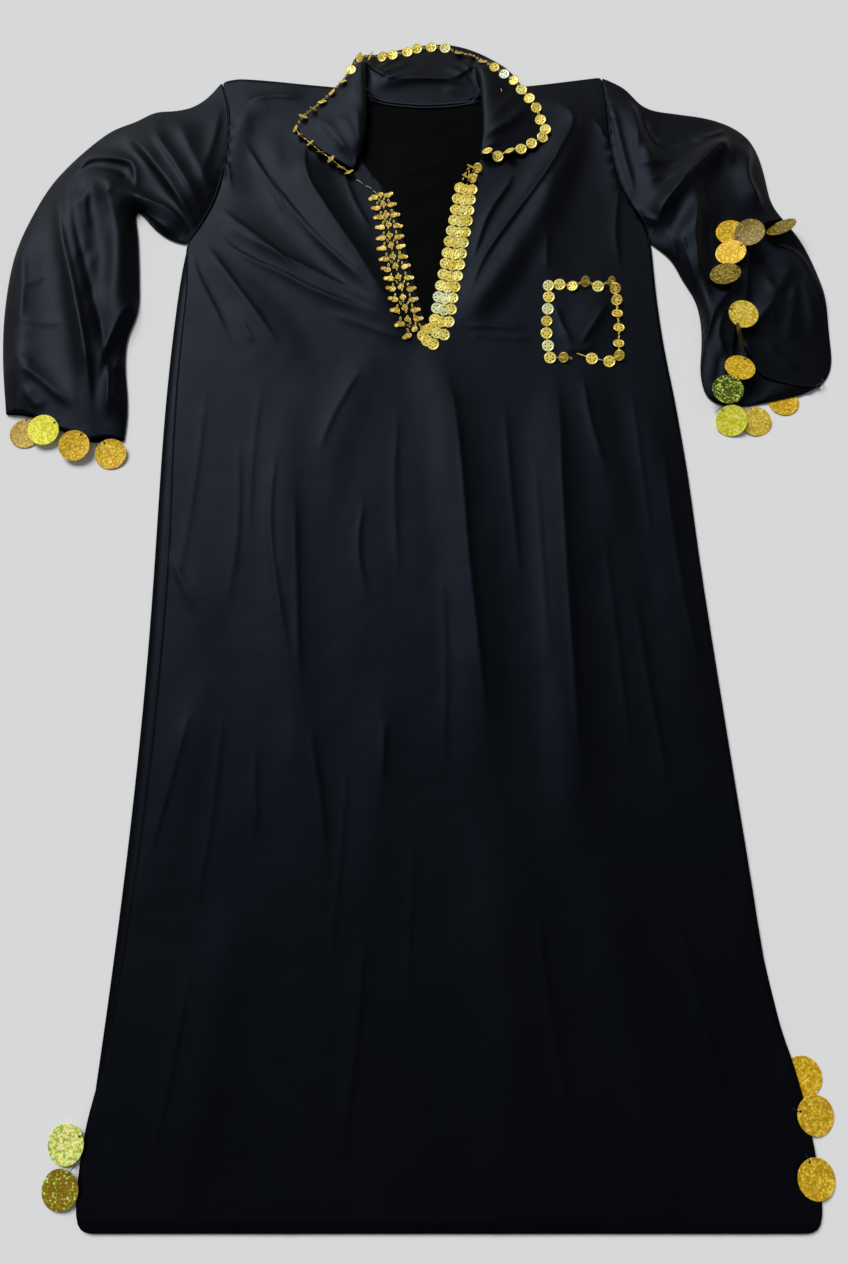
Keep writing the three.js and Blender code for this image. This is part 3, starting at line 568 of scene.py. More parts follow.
# each lifted point looks up for the collar, from just above the cloth
for i in np.flatnonzero((lift > 0.2) & (spots[:, 1] > COLLAR_FOOT)):
    above = under_collar.ray_cast(at(*spots[i]) + Vector((0, 0, 0.0002)), (0, 0, 1), 0.03)[3]
    if above is not None:
        lift[i] = min(lift[i], max(above * 1000 - UNDER_COLLAR, 0))
normals = np.empty(len(spots) * 3)
front.data.vertices.foreach_get("normal", normals)
floor_of = np.where(normals.reshape(-1, 3)[:, 2] > 0, LOWEST + FRONT_WALL, LOWEST)
spots[:, 2] = (np.maximum(spots[:, 2] + lift, np.minimum(floor_of, spots[:, 2]))
               + rise_over_disc(spots, TUCKED_AT_HEM))
put_points(front, spots)
declare_cloth(front, "front_panel")


# ---- Sleeves ----------------------------------------------------------------------------------
# Each is cut in one piece, set into the armhole and closed by an underarm seam. The wearer's
# right one is bent and heavily rucked; the left one ends in a cuff that gapes open.

LAYERS_PART = 2.6                        # the height at which a sleeve's upper layer begins
UPPER_FLOOR, UNDER_FLOOR = 2.7, 1.2      # neither layer sinks below its floor


def sleeve(node, name, creases, under_creases=(), under_mask=None):
    """The upper layer takes creases, the under layer keeps down, apart from what the mask
    says can be seen of its inner face."""
    piece, edge = shell_from(node, name, 3)
    spots = points_of(piece)
    room = smooth((from_edge(piece, edge) - 1) / 7)
    upper = smooth((spots[:, 2] - LAYERS_PART) / 3)
    lift = (crease_lift(spots[:, :2], creases) + rumple(spots, 0.5)) * upper * room
    if under_mask is not None:
        seen = (crease_lift(spots[:, :2], under_creases) + rumple(spots, 0.4)) * room
        lift = np.where(under_mask(spots), np.maximum(seen, 0), lift)
    lowest = np.where(upper > 0.5, UPPER_FLOOR, np.minimum(spots[:, 2], UNDER_FLOOR))
    spots[:, 2] = np.maximum(spots[:, 2] + lift, lowest)
    put_points(piece, spots)
    iron(piece, edge, 2)
    return piece


RIGHT_SLEEVE_CREASES = [
    # path, rise, width on its left, width on its right: from the sleeve head to the underarm
    ([(-398, 694), (-379, 669), (-337, 612), (-298, 551), (-284, 530)], 7.5, 15, 3),
    ([(-365, 720), (-351, 679), (-317, 622), (-281, 559)], 5.5, 13, 3.5),
    ([(-333, 719), (-313, 674), (-285, 614), (-272, 575)], 3.0, 12, 5),
    ([(-273, 749), (-276, 702), (-282, 657), (-289, 610)], 2.4, 3, 8),
    ([(-372, 583), (-353, 574), (-327, 562), (-299, 532)], 4.5, 2.4, 7),
    ([(-368, 568), (-341, 546), (-314, 528)], 3.0, 2.4, 5),
    # the loop round the elbow
    ([(-371, 586), (-374, 612), (-382, 636), (-406, 643), (-439, 640), (-456, 610)], 6.5, 3, 10),
    ([(-386, 600), (-392, 622), (-412, 628), (-430, 618)], -2.0, 3, 5),
    ([(-406, 594), (-398, 561), (-386, 526)], 1.6, 3, 6),
    # down the forearm: a wide plane that breaks off, a trough, and the fold beyond it
    ([(-479, 603), (-454, 510), (-433, 443), (-411, 366), (-400, 309), (-392, 248)], 7.0, 3, 20),
    ([(-455, 606), (-440, 529), (-404, 413), (-388, 360), (-379, 309)], -4.5, 6, 5),
    ([(-348, 443), (-369, 406), (-385, 357), (-391, 309)], 6.0, 3, 13),
    ([(-362, 361), (-376, 310), (-362, 260)], 4.5, 2.6, 9),
    ([(-385, 350), (-377, 304), (-376, 260)], 4.0, 2.4, 6),
    ([(-431, 606), (-433, 567), (-423, 523)], 2.4, 3, 9),
    ([(-510, 520), (-498, 450), (-494, 380)], 2.4, 3, 10),
    # above the cuff, and slight wrinkles across
    ([(-494, 335), (-467, 318), (-434, 290), (-413, 276)], 4.5, 9, 2.6),
    ([(-480, 305), (-466, 283), (-448, 278)], 2.6, 6, 2.4),
    ([(-437, 393), (-469, 394), (-502, 398)], 1.5, 2.2, 6),
    ([(-471, 333), (-500, 347)], 1.4, 2.2, 5),
    ([(-470, 463), (-500, 446)], 1.3, 2.2, 5),
]
sleeve_right = sleeve("sleeve_wearer_right", "sleeve_right_cloth", RIGHT_SLEEVE_CREASES)
declare_cloth(sleeve_right, "sleeve_wearer_right")

LEFT_SLEEVE_CREASES = [
    # from the sleeve head round to the underarm
    ([(406, 690), (381, 651), (342, 608), (304, 560), (290, 526)], 7.0, 2.8, 14),
    ([(343, 622), (326, 584), (304, 553)], 3.5, 2.4, 6),
    ([(350, 614), (347, 560), (342, 519), (342, 450)], 5.5, 2.6, 13),
    ([(367, 636), (358, 590), (366, 536), (366, 486)], 3.5, 2.4, 7),
    ([(392, 676), (402, 628)], 2.5, 2.4, 6),
    ([(433, 676), (420, 620), (429, 584), (438, 556)], 5.5, 2.8, 13),
    ([(291, 735), (299, 689), (318, 670), (353, 676)], -3.2, 3, 5),
    ([(404, 697), (379, 682), (350, 676)], 3.0, 2.4, 6),
    ([(334, 645), (310, 639), (276, 632)], 2.0, 2.4, 5),
    ([(346, 618), (318, 614), (284, 608)], 2.2, 2.4, 5),
    ([(248, 764), (256, 701), (263, 651), (270, 608), (272, 575)], 4.0, 3, 6),
    ([(276, 758), (284, 701), (276, 640)], 2.4, 3, 7),
    ([(264, 578), (289, 551), (302, 538)], 3.0, 2.2, 5),
    # down to the cuff
    ([(398, 462), (359, 411), (346, 378), (338, 340)], 5.0, 2.8, 13),
    ([(372, 415), (360, 378), (366, 340)], 3.0, 2.4, 6),
    ([(322, 530), (330, 490), (344, 440)], 3.0, 2.4, 6),
    ([(360, 352), (356, 326), (350, 306)], -1.8, 3, 4),
]
LEFT_CUFF_CREASES = [
    # the inner face of the under layer, seen in the open cuff
    ([(432, 524), (473, 501), (491, 456), (498, 405)], 4.5, 2.4, 6),
    ([(412, 505), (404, 456), (399, 420)], 3.5, 3, 3),
    ([(464, 484), (443, 444), (420, 411), (404, 385)], 5.0, 3, 8),
    ([(468, 462), (458, 411), (449, 370)], 3.5, 2.6, 7),
    ([(478, 472), (483, 411), (482, 370)], 3.5, 2.6, 7),
    ([(430, 480), (438, 440), (430, 390)], 2.5, 3, 7),
    ([(424, 380), (436, 350), (462, 336)], 2.2, 3, 7),
    # a fold stands at the mouth's foot, and the allowance runs from it to the corner
    ([(394, 386), (397, 362), (392, 341), (402, 327), (415, 322)], 6.5, 1.8, 3.5),
    ([(398, 331), (419, 317), (450, 309), (473, 306), (492, 315)], 3.5, 2.6, 2.6),
    # the point of cloth below it
    ([(456, 307), (422, 299), (388, 284)], 2.4, 1.8, 5),
]
HEM_LINE = [(464, 557), (425, 536), (410, 500), (402, 445), (395, 408), (380, 384), (375, 350),
            (371, 318), (360, 284)]
TUCKED_AT_CUFF = (434, 291)              # this disc hangs under the hem too


def past_the_hem(spots):
    """Points of the under layer that lie beyond the upper layer's hem."""
    hem_y, hem_x = zip(*[(y, x) for x, y in reversed(HEM_LINE)])
    return (spots[:, 0] > np.interp(spots[:, 1], hem_y, hem_x) + 1.5) & (spots[:, 1] < 548)


sleeve_left = sleeve("sleeve_wearer_left", "sleeve_left_cloth", LEFT_SLEEVE_CREASES,
                     LEFT_CUFF_CREASES, past_the_hem)
spots = points_of(sleeve_left)
spots[:, 2] += np.where(past_the_hem(spots), rise_over_disc(spots, TUCKED_AT_CUFF), 0)
put_points(sleeve_left, spots)
declare_cloth(sleeve_left, "sleeve_wearer_left")

cloths = [surface_of(piece) for piece in (back, front, collar, sleeve_right, sleeve_left)]
dressed = list(cloths)


def cloth_top(x, y):
    """How high the cloth lies at a place of the pattern, in millimetres."""
    hits = [tree.ray_cast(at(x, y, 200), (0, 0, -1))[0] for tree in dressed]
    return max([hit.z * 1000 for hit in hits if hit] + [0])


# ---- Small coins ------------------------------------------------------------------------------
# Thin pressed gold-coloured coins with a ring of holes, joined by wire links. Single strings
# edge the collar and make the square on the chest, and strings three wide edge the slit.

COIN_RADIUS = 8.0
COIN_THICK = 0.5
COIN_SHARE = 0.92                        # coins are made at this share of their radius
COIN_CLEAR = 0.55                        # how far a coin's middle plane keeps off the cloth


def pattern_piece(name, shape):
    """A pattern that the tree below copies, from a bmesh in millimetres."""
    bmesh.ops.recalc_face_normals(shape, faces=shape.faces)
    bmesh.ops.scale(shape, verts=shape.verts, vec=(0.001,) * 3)
    mesh = poured(shape, bpy.data.meshes.new(name))
    mesh.shade_smooth()
    return in_scene(name + "_pattern", mesh)


def coin():
    """One coin: a raised rim, six round holes and a boss in the middle."""
    shape = bmesh.new()
    sectors, web, rim, boss, hole = 6, 6.5, 7.3, 1.9, 1.1
    flat, lip, bead, crown = 0.10, 0.32, 0.5, 0.55          # heights of its relief
    turn = 2 * math.pi / sectors

    def ring_point(radius, angle, z):
        return shape.verts.new((radius * math.cos(angle), radius * math.sin(angle), z))

    for sector in range(sectors):
        middle = sector * turn
        mean = (web + boss) / 2
        frame_spots = [(boss, -0.5), (mean, -0.5), (web, -0.5), (web, 0), (web, 0.5),
                       (mean, 0.5), (boss, 0.5), (boss, 0)]
        outer = [ring_point(radius, middle + share * turn, flat) for radius, share in frame_spots]
        centre = Vector((mean * math.cos(middle), mean * math.sin(middle), 0))
        inner = []
        for vert in outer:
            away = vert.co - centre
            away.z = 0
            inner.append(shape.verts.new(centre + away.normalized() * hole + Vector((0, 0, lip))))
        for i in range(8):
            j = (i + 1) % 8
            shape.faces.new((outer[i], outer[j], inner[j], inner[i]))
        for low, high in ((-0.5, 0), (0, 0.5)):
            edge = [ring_point(radius, middle + share * turn, z) for radius, share, z in (
                (web, low, flat), (rim, low, bead), (COIN_RADIUS, low, flat),
                (COIN_RADIUS, high, flat), (rim, high, bead), (web, high, flat))]
            shape.faces.new((edge[0], edge[1], edge[4], edge[5]))
            shape.faces.new((edge[1], edge[2], edge[3], edge[4]))
            shape.faces.new((ring_point(boss, middle + low * turn, flat),
                             ring_point(boss, middle + high * turn, flat),
                             shape.verts.new((0, 0, crown))))
    bmesh.ops.remove_doubles(shape, verts=shape.verts, dist=0.01)
    bmesh.ops.recalc_face_normals(shape, faces=shape.faces)
    if sum(face.normal.z for face in shape.faces) < 0:
        bmesh.ops.reverse_faces(shape, faces=shape.faces)
    bmesh.ops.solidify(shape, geom=shape.faces, thickness=COIN_THICK)
    pattern = pattern_piece("coin", shape)
    pattern.data.set_sharp_from_angle(angle=math.radians(40))
    return pattern


def wire_link():
    """A wire link: a long ring, 5.3 mm by 2.9 mm."""
    shape = bmesh.new()
    around, across, long, short, wire = 10, 5, 2.3, 1.1, 0.34
    rings = []
    for i in range(around):
        angle = 2 * math.pi * i / around
        out = Vector((math.cos(angle), math.sin(angle), 0))
        centre = Vector((long * out.x, short * out.y, 0))
        turns = [2 * math.pi * j / across for j in range(across)]
        rings.append([shape.verts.new(centre + out * wire * math.cos(turn)
                                      + Vector((0, 0, wire * math.sin(turn)))) for turn in turns])
    for i in range(around):
        for j in range(across):
            k, m = (i + 1) % around, (j + 1) % across
            shape.faces.new((rings[i][j], rings[k][j], rings[k][m], rings[i][m]))
    return pattern_piece("link", shape)


coin_pattern, link_pattern = coin(), wire_link()


def new_tree(name, inputs):
    """A node tree that takes geometry, the named inputs and a finish. Returns it and the node
    that holds what it is given."""
    tree = bpy.data.node_groups.new(name, "GeometryNodeTree")
    for label, kind in (("Geometry", "Geometry"), *inputs, ("Finish", "Material")):
        tree.interface.new_socket(label, in_out="INPUT", socket_type="NodeSocket" + kind)
    tree.interface.new_socket("Geometry", in_out="OUTPUT", socket_type="NodeSocketGeometry")
    return tree, tree.nodes.new("NodeGroupInput")


def end_tree(tree, given, shapes):
    """Makes the copies real, sets their finish and hands them out."""
    add, link = tree.nodes.new, tree.links.new
    real, finish = add("GeometryNodeRealizeInstances"), add("GeometryNodeSetMaterial")
    link(shapes, real.inputs["Geometry"])
    link(real.outputs["Geometry"], finish.inputs["Geometry"])
    link(given.outputs["Finish"], finish.inputs["Material"])
    link(finish.outputs["Geometry"], add("NodeGroupOutput").inputs["Geometry"])
    return tree


def grow(piece, tree, values):
    """Runs a tree on a piece, with values for its named inputs, and keeps what it makes."""
    maker = piece.modifiers.new(tree.name, "NODES")
    maker.node_group = tree
    inputs = {item.name: item.identifier for item in tree.interface.items_tree
              if item.in_out == "INPUT"}
    for label, value in values.items():
        maker[inputs[label]] = value
    return settle(piece)


def trim_tree():
    """Copies a coin or a link to each point, as the point's kind says, turned by its turn."""
    tree, given = new_tree("coins and links", (("Coin", "Object"), ("Link", "Object"),
                                               ("Coin size", "Float"), ("Link size", "Float")))
    add, link = tree.nodes.new, tree.links.new

    def attribute(name, kind):
        made = add("GeometryNodeInputNamedAttribute")
        made.data_type = kind
        made.inputs["Name"].default_value = name
        return made

    turn = attribute("turn", "FLOAT_VECTOR")
    is_link = attribute("is_link", "BOOLEAN")
    size = attribute("size", "FLOAT")
    kinds = add("GeometryNodeSeparateGeometry")
    link(given.outputs["Geometry"], kinds.inputs["Geometry"])
    link(is_link.outputs["Attribute"], kinds.inputs["Selection"])
    join = add("GeometryNodeJoinGeometry")
    for share, label in (("Selection", "Link"), ("Inverted", "Coin")):
        shape, copies = add("GeometryNodeObjectInfo"), add("GeometryNodeInstanceOnPoints")
        scale = add("ShaderNodeMath")
        scale.operation = "MULTIPLY"
        link(given.outputs[label], shape.inputs["Object"])
        link(kinds.outputs[share], copies.inputs["Points"])
        link(shape.outputs["Geometry"], copies.inputs["Instance"])
        link(turn.outputs["Attribute"], copies.inputs["Rotation"])
        link(given.outputs[label + " size"], scale.inputs[0])
        link(size.outputs["Attribute"], scale.inputs[1])
        link(scale.outputs["Value"], copies.inputs["Scale"])
        link(copies.outputs["Instances"], join.inputs["Geometry"])
    return end_tree(tree, given, join.outputs["Geometry"])


TRIM = trim_tree()


def coin_gold():
    """Bright yellow gold plate, uneven from coin to coin, with a few that shine silver-green.
    Each coin's value also holds painted light: low where it lies in shade, pale where it
    catches the lamp.
    """
    finish = Finish("coin gold")
    shade = finish.node("ShaderNodeAttribute", {"attribute_name": "shade"}, output="Fac")
    speck = finish.noise(900, 2)
    tone = finish.noise(420, 2)
    # a coin's value picks its colour along the ramp: its own tone of gold, pulled down to dark brown
    # by painted shade and up to pale by painted highlights
    colour = finish.ramp(shade + (tone - 0.5) * 0.5,
                         [(0.0, (0.22, 0.12, 0.012)), (0.3, (0.56, 0.35, 0.035)),
                          (0.62, (1.0, 0.80, 0.12)), (0.85, (1.0, 0.95, 0.36)),
                          (1.0, (0.80, 0.98, 0.86))])
    return finish.surface(Base_Color=colour, Metallic=0.18,
                          Roughness=speck * 0.22 + 0.18, Specular_IOR_Level=0.6,
                          Normal=finish.bump(speck, 0.3, 0.0003))


COIN_GOLD = coin_gold()


def tilt_turn(tilt, toward):
    """Tilt off level, and the direction of the low side, both in degrees, as a turn."""
    low = math.radians(toward)
    return Matrix.Rotation(math.radians(tilt), 3, Vector((-math.sin(low), math.cos(low), 0)))


def rest(x, y, turn, radius, clear):
    """The height at which a tilted round piece lies clear of the cloth."""
    height = cloth_top(x, y) + clear
    for step in range(12):
        spoke = Vector((math.cos(step * math.pi / 6), math.sin(step * math.pi / 6), 0)) * radius
        spoke.rotate(turn)
        height = max(height, cloth_top(x + spoke.x, y + spoke.y) + clear - spoke.z)
    return height


def walk(points, count):
    """count places, evenly spaced along a smooth line through points."""
    line = rounded(points, 12)
    walked = walked_on(line)
    stops = np.linspace(0, walked[-1], count)
    return list(zip(np.interp(stops, walked, line[:, 0]), np.interp(stops, walked, line[:, 1])))


LINK_LIFT = 0.0004                       # links lie a little above the coins' middles


class Trim:
    """A run of coins and links, gathered as points and then made in one piece."""

    def __init__(self, seed):
        self.rows = []
        self.chance = random.Random(seed)

    def coin(self, x, y, tilt, toward, shade=0.6, size=1.0):
        """Adds a coin that rests on the cloth and returns where its middle is."""
        turn = tilt_turn(tilt, toward)
        spin = self.chance.uniform(0, math.pi / 3)
        z = rest(x, y, turn, COIN_RADIUS * COIN_SHARE * size, COIN_CLEAR)
        whole = turn @ Matrix.Rotation(spin, 3, "Z")
        # the coin's value goes with it: its own tone of gold with painted shade or painted highlight
        self.rows.append((at(x, y, z), whole.to_euler(), False, shade, size))
        return Vector((x, y, z))

    def links(self, start, end, count=2):
        """Adds wire links in line between two places."""
        along = end - start
        if along.length < 1:
            return
        for i in range(count):
            spot = start + along * ((i + 0.5) / count)
            twist = Matrix.Rotation(self.chance.uniform(0.2, 1.2), 3, "X")
            whole = along.to_track_quat("X", "Z").to_matrix() @ twist
            self.rows.append((at(*spot) + Vector((0, 0, LINK_LIFT)), whole.to_euler(), True,
                              0.6, 1.0))

    def finish(self, name, node):
        """Makes the run in one piece, in place of its solid."""
        mesh = bpy.data.meshes.new(name)
        mesh.from_pydata([row[0] for row in self.rows], [], [])
        for label, kind, field, column in (
                ("turn", "FLOAT_VECTOR", "vector", 1), ("is_link", "BOOLEAN", "value", 2),
                ("shade", "FLOAT", "value", 3), ("size", "FLOAT", "value", 4)):
            values = mesh.attributes.new(label, kind, "POINT").data
            for item, row in zip(values, self.rows):
                setattr(item, field, row[column])
        piece = in_scene(name, mesh)
        grow(piece, TRIM, {"Coin": coin_pattern, "Link": link_pattern, "Coin size": COIN_SHARE,
                           "Link size": 1.0, "Finish": COIN_GOLD})
        hand_over(piece, node)


COLLAR_COINS = [
    # x, y, tilt, low side, tone and painted light, size; from the front end of the wearer's right leaf
    # to its point
    (-98, 628, 38, 120, 0.40, 0.85), (-109, 636, 44, 75, 0.36, 0.75), (-122, 646, 40, 160, 0.34, 0.8),
    (-136, 657, 46, 90, 0.38, 0.75), (-150, 672, 42, 150, 0.36, 0.8), (-164, 686, 48, 100, 0.34, 0.7),
    (-171, 698, 50, 170, 0.38, 0.7),
    # up to the fold, and over it
    (-161, 717, 36, 60, 0.44, 0.85), (-148, 728, 50, 40, 0.38, 0.75), (-137, 743, 30, 110, 0.46, 0.85),
    (-124, 758, 44, 160, 0.38, 0.75), (-110, 773, 34, 100, 0.44, 0.85), (-99, 790, 8, 255, 0.68, 1.0),
    (-87, 812, 44, 215, 0.42, 0.9), (-73, 820, 58, 180, 0.40, 0.9), (-57, 822, 28, 215, 0.48, 0.95),
    (-43, 827, 16, 235, 0.64, 1.0), (-23, 834, 12, 262, 0.66, 1.0), (-10, 840, 14, 258, 0.62, 1.0),
    (10, 843, 12, 265, 0.64, 1.0), (29, 841, 14, 250, 0.86, 1.0),
    # a stretch that lies in shadow, its shade painted into the coins as low values, then the wearer's
    # left leaf round to its front end
    (48, 831, 30, 90, 0.16, 0.9), (66, 825, 40, 60, 0.12, 0.7), (80, 811, 28, 80, 0.22, 0.9),
    (95, 793, 14, 240, 0.50, 0.9), (108, 783, 12, 240, 0.94, 0.95), (121, 774, 20, 215, 0.52, 0.95),
    (131, 760, 10, 262, 0.78, 1.0), (141, 745, 14, 225, 0.62, 1.0), (150, 731, 16, 262, 0.58, 0.95),
    (155, 711, 14, 235, 0.62, 1.0), (161, 696, 12, 250, 0.70, 1.0), (157, 684, 16, 300, 0.66, 1.0),
    (142, 673, 14, 262, 0.68, 0.98), (128, 664, 10, 262, 0.68, 1.0), (112, 657, 34, 130, 0.50, 0.95),
    (97, 652, 16, 258, 0.64, 1.0), (83, 656, 26, 120, 0.54, 0.95),
]
collar_trim = Trim(5)
previous = None
for x, y, tilt, toward, shade, size in COLLAR_COINS:
    spot = collar_trim.coin(x, y, tilt, toward + 12 * collar_trim.chance.uniform(-1, 1), shade, size)
    if previous:
        collar_trim.links(previous, spot, 3)
    previous = spot
collar_trim.finish("collar_coins", "coin_trim_collar")


KNOT_LIFT = 4.2                          # the chains run so far above the cloth


def slit_string(name, node, seed, line, rows, layout):
    """Rows of coins down one side of the slit, with three chains of links between the rows."""
    trim = Trim(seed)
    spots = walk(line, rows)
    before = None
    for i, (x, y) in enumerate(spots):
        next_x, next_y = spots[min(i + 1, rows - 1)]
        last_x, last_y = spots[max(i - 1, 0)]
        along = Vector((next_x - last_x, next_y - last_y, 0)).normalized()
        across = Vector((-along.y, along.x, 0))
        reach, coins = layout(i, trim.chance)
        for step, forward, tilt, toward, shade, size in coins:
            spot = Vector((x, y, 0)) + across * step + along * forward
            trim.coin(spot.x, spot.y, tilt, toward, shade, size)
        knots = []
        for step in (reach, 0, -reach):
            knot = Vector((x, y, 0)) + across * (step + trim.chance.uniform(-1, 1))
            knot.z = cloth_top(knot.x, knot.y) + KNOT_LIFT
            knots.append(knot)
        if before:
            for start, end in zip(before, knots):
                trim.links(start, end, 2)
            if i % 2:
                trim.links(before[0], knots[1], 3)
                trim.links(before[2], knots[1], 3)
        before = knots
    trim.finish(name, node)


def edge_on_row(i, chance):
    """The wearer's right string has turned over, so the backs of its coins show, small and dull."""
    reach = 8.8 + min(i, 7) * 0.35
    coins = [(0, -3.0, chance.uniform(2, 16), 90 + chance.uniform(-60, 60), 0.34, 0.56)]
    for side in (1, -1):
        coins.append((side * reach, chance.uniform(-1.0, 1.0), chance.uniform(3, 12),
                      90 + chance.uniform(-60, 60), chance.uniform(0.26, 0.46), 0.62))
        coins.append((side * (reach + 5.0), chance.uniform(-2.0, 1.0), chance.uniform(2, 8),
                      90 + chance.uniform(-60, 60), chance.uniform(0.28, 0.46), 0.42))
    return reach - 2.2, coins


def flat_row(i, chance):
    """The wearer's left string lies face up, its coins lapped like scales."""
    reach = 7.6 + min(i, 6) * 0.2
    if i < 2:
        return reach, [(side * 4.5, 0, chance.uniform(30, 50), chance.uniform(0, 360), 0.46, 0.85)
                       for side in (1, -1)]
    coins = []
    for side in (1, 0, -1):
        # in rows 12 and 13 all but the first coin are coloured pale: a painted highlight where they
        # catch the lamp
        painted_glint = 0.92 if i in (12, 13) and side < 1 else 0
        coins.append((side * reach, (1 - abs(side)) * 1.8, chance.uniform(8, 17),
                      264 + chance.uniform(-25, 25), max(chance.uniform(0.56, 0.78), painted_glint), 1.0))
    return reach, coins


slit_string("slit_coins_right", "coin_trim_slit_wearer_right", 11,
            [(-56, 592), (-46, 551), (-41, 506), (-30, 456), (-21, 406), (-10, 386)], 14,
            edge_on_row)
slit_string("slit_coins_left", "coin_trim_slit_wearer_left", 12,
            [(66, 636), (55, 606), (47, 553), (40, 513), (35, 479), (28, 443), (23, 407),
             (17, 386), (5, 374)], 17, flat_row)

CHEST_COINS = [
    # x, y, tilt, low side, tone and painted light, size; round the square from its open foot and back
    # to it
    (170, 348, 38, 240, 0.36, 0.85), (154, 349, 14, 265, 0.66, 1.0), (152, 366, 14, 262, 0.88, 1.0),
    (151, 384, 14, 265, 0.66, 1.0), (152, 402, 10, 255, 0.45, 0.95), (154, 419, 14, 268, 0.90, 1.0),
    (156, 437, 12, 262, 0.68, 1.0), (156, 453, 18, 250, 0.86, 0.95), (170, 455, 14, 262, 0.72, 1.0),
    (186, 453, 14, 205, 0.50, 0.95), (202, 457, 46, 312, 0.38, 0.95), (218, 452, 12, 265, 0.70, 1.0),
    (235, 458, 48, 308, 0.42, 0.85), (239, 447, 40, 232, 0.36, 0.95), (240, 431, 28, 228, 0.38, 0.95),
    (240, 413, 12, 92, 0.40, 0.95), (241, 393, 9, 90, 0.44, 0.95), (239, 370, 13, 88, 0.40, 0.95),
    (238, 351, 40, 234, 0.38, 0.9), (226, 344, 16, 250, 0.58, 1.0), (205, 348, 12, 262, 0.62, 1.0),
]
chest_trim = Trim(21)
previous = None
for x, y, tilt, toward, shade, size in CHEST_COINS:
    spot = chest_trim.coin(x, y, tilt, toward, shade, size)
    if previous:
        chest_trim.links(previous, spot, 4)
    else:
        chest_trim.links(spot, spot + Vector((11, -1, -1)), 2)
    previous = spot
chest_trim.links(previous, previous + Vector((-18, 8, -1)), 4)
chest_trim.finish("chest_coins", "coin_trim_chest")

for pattern in (coin_pattern, link_pattern):
    bpy.data.objects.remove(pattern)


# ---- Large discs ------------------------------------------------------------------------------
# Punched from thin holographic plastic with a crackled foil, 37 mm across, each hung from the
# hem by a black thread through a hole near its rim.

DISC_RADIUS = 18.5
HOLE_REACH = DISC_RADIUS - 3.2           # from a disc's middle to its hole's
HOLE_ENDS = 17.0                         # points of a solid disc beyond this are its rim's
DISC_CLEAR = 0.6                         # how far a disc's middle plane keeps off the cloth
FOIL_CELLS = 420.0                       # to the metre
DISC_FOILS = {
    # foil: its tones from the dullest facet to the brightest, and how much their hue wanders
    "yellow": ([(0.10, (0.66, 0.60, 0.02)), (0.45, (0.94, 0.90, 0.07)), (0.75, (1.0, 1.0, 0.22)),
                (1.0, (1.0, 1.0, 0.60))], 0.1),
    "gold": ([(0.10, (0.55, 0.36, 0.02)), (0.5, (0.80, 0.56, 0.06)), (0.8, (0.98, 0.80, 0.20)),
              (1.0, (1.0, 0.95, 0.50))], 0.1),
    "amber": ([(0.10, (0.48, 0.27, 0.008)), (0.5, (0.74, 0.46, 0.022)), (0.8, (0.94, 0.70, 0.08)),
               (1.0, (1.0, 0.92, 0.34))], 0.1),
    "old": ([(0.10, (0.09, 0.06, 0.003)), (0.5, (0.20, 0.135, 0.006)), (0.8, (0.38, 0.28, 0.03)),
             (1.0, (0.62, 0.52, 0.12))], 0.1),
    "green": ([(0.10, (0.035, 0.060, 0.008)), (0.42, (0.14, 0.20, 0.015)), (0.66, (0.52, 0.60, 0.06)),
               (1.0, (1.0, 1.0, 0.50))], 0.5),
    "olive": ([(0.10, (0.20, 0.13, 0.006)), (0.58, (0.34, 0.24, 0.012)), (0.68, (0.42, 0.62, 0.08)),
               (1.0, (0.90, 1.0, 0.55))], 0.6),
    "dull": ([(0.10, (0.24, 0.15, 0.006)), (0.5, (0.42, 0.27, 0.014)), (0.8, (0.60, 0.43, 0.05)),
              (1.0, (0.85, 0.70, 0.20))], 0.1),
    # a near-black foil for a disc that lies in shadow: painted shadow in place of its gold
    "shaded": ([(0.10, (0.030, 0.028, 0.003)), (0.5, (0.060, 0.054, 0.006)),
                (0.8, (0.10, 0.09, 0.015)), (1.0, (0.18, 0.17, 0.05))], 0.1),
    "rose": ([(0.10, (0.34, 0.48, 0.14)), (0.4, (0.88, 0.84, 0.12)), (0.65, (1.0, 0.92, 0.50)),
              (1.0, (1.0, 0.84, 0.80))], 0.8),
}
FOILS_IN_ROWS = {
    # in the order in which a row's discs are numbered
    "cuff_disc_wearer_right": "dull yellow amber amber",
    # the seventh of these lies in painted shadow
    "cuff_disc_wearer_left":
        "amber old old amber old gold shaded amber green gold yellow amber",
    "hem_disc_wearer_right": "rose olive",
    "hem_disc_wearer_left": "amber amber amber",
}
DISC_FOIL = {f"{row}_{i}": kind for row, kinds in FOILS_IN_ROWS.items()
             for i, kind in enumerate(kinds.split(), 1)}
# discs whose thread has turned them: tilt off level, and which way the low side lies
DISC_TURNS = {"cuff_disc_wearer_left_2": (18, 196), "cuff_disc_wearer_left_3": (41, 134),
              "cuff_disc_wearer_left_4": (17, 168), "cuff_disc_wearer_left_5": (20, 140),
              "cuff_disc_wearer_left_7": (60, 0)}
TUCKED_DISCS = ("cuff_disc_wearer_left_12", "hem_disc_wearer_left_1")


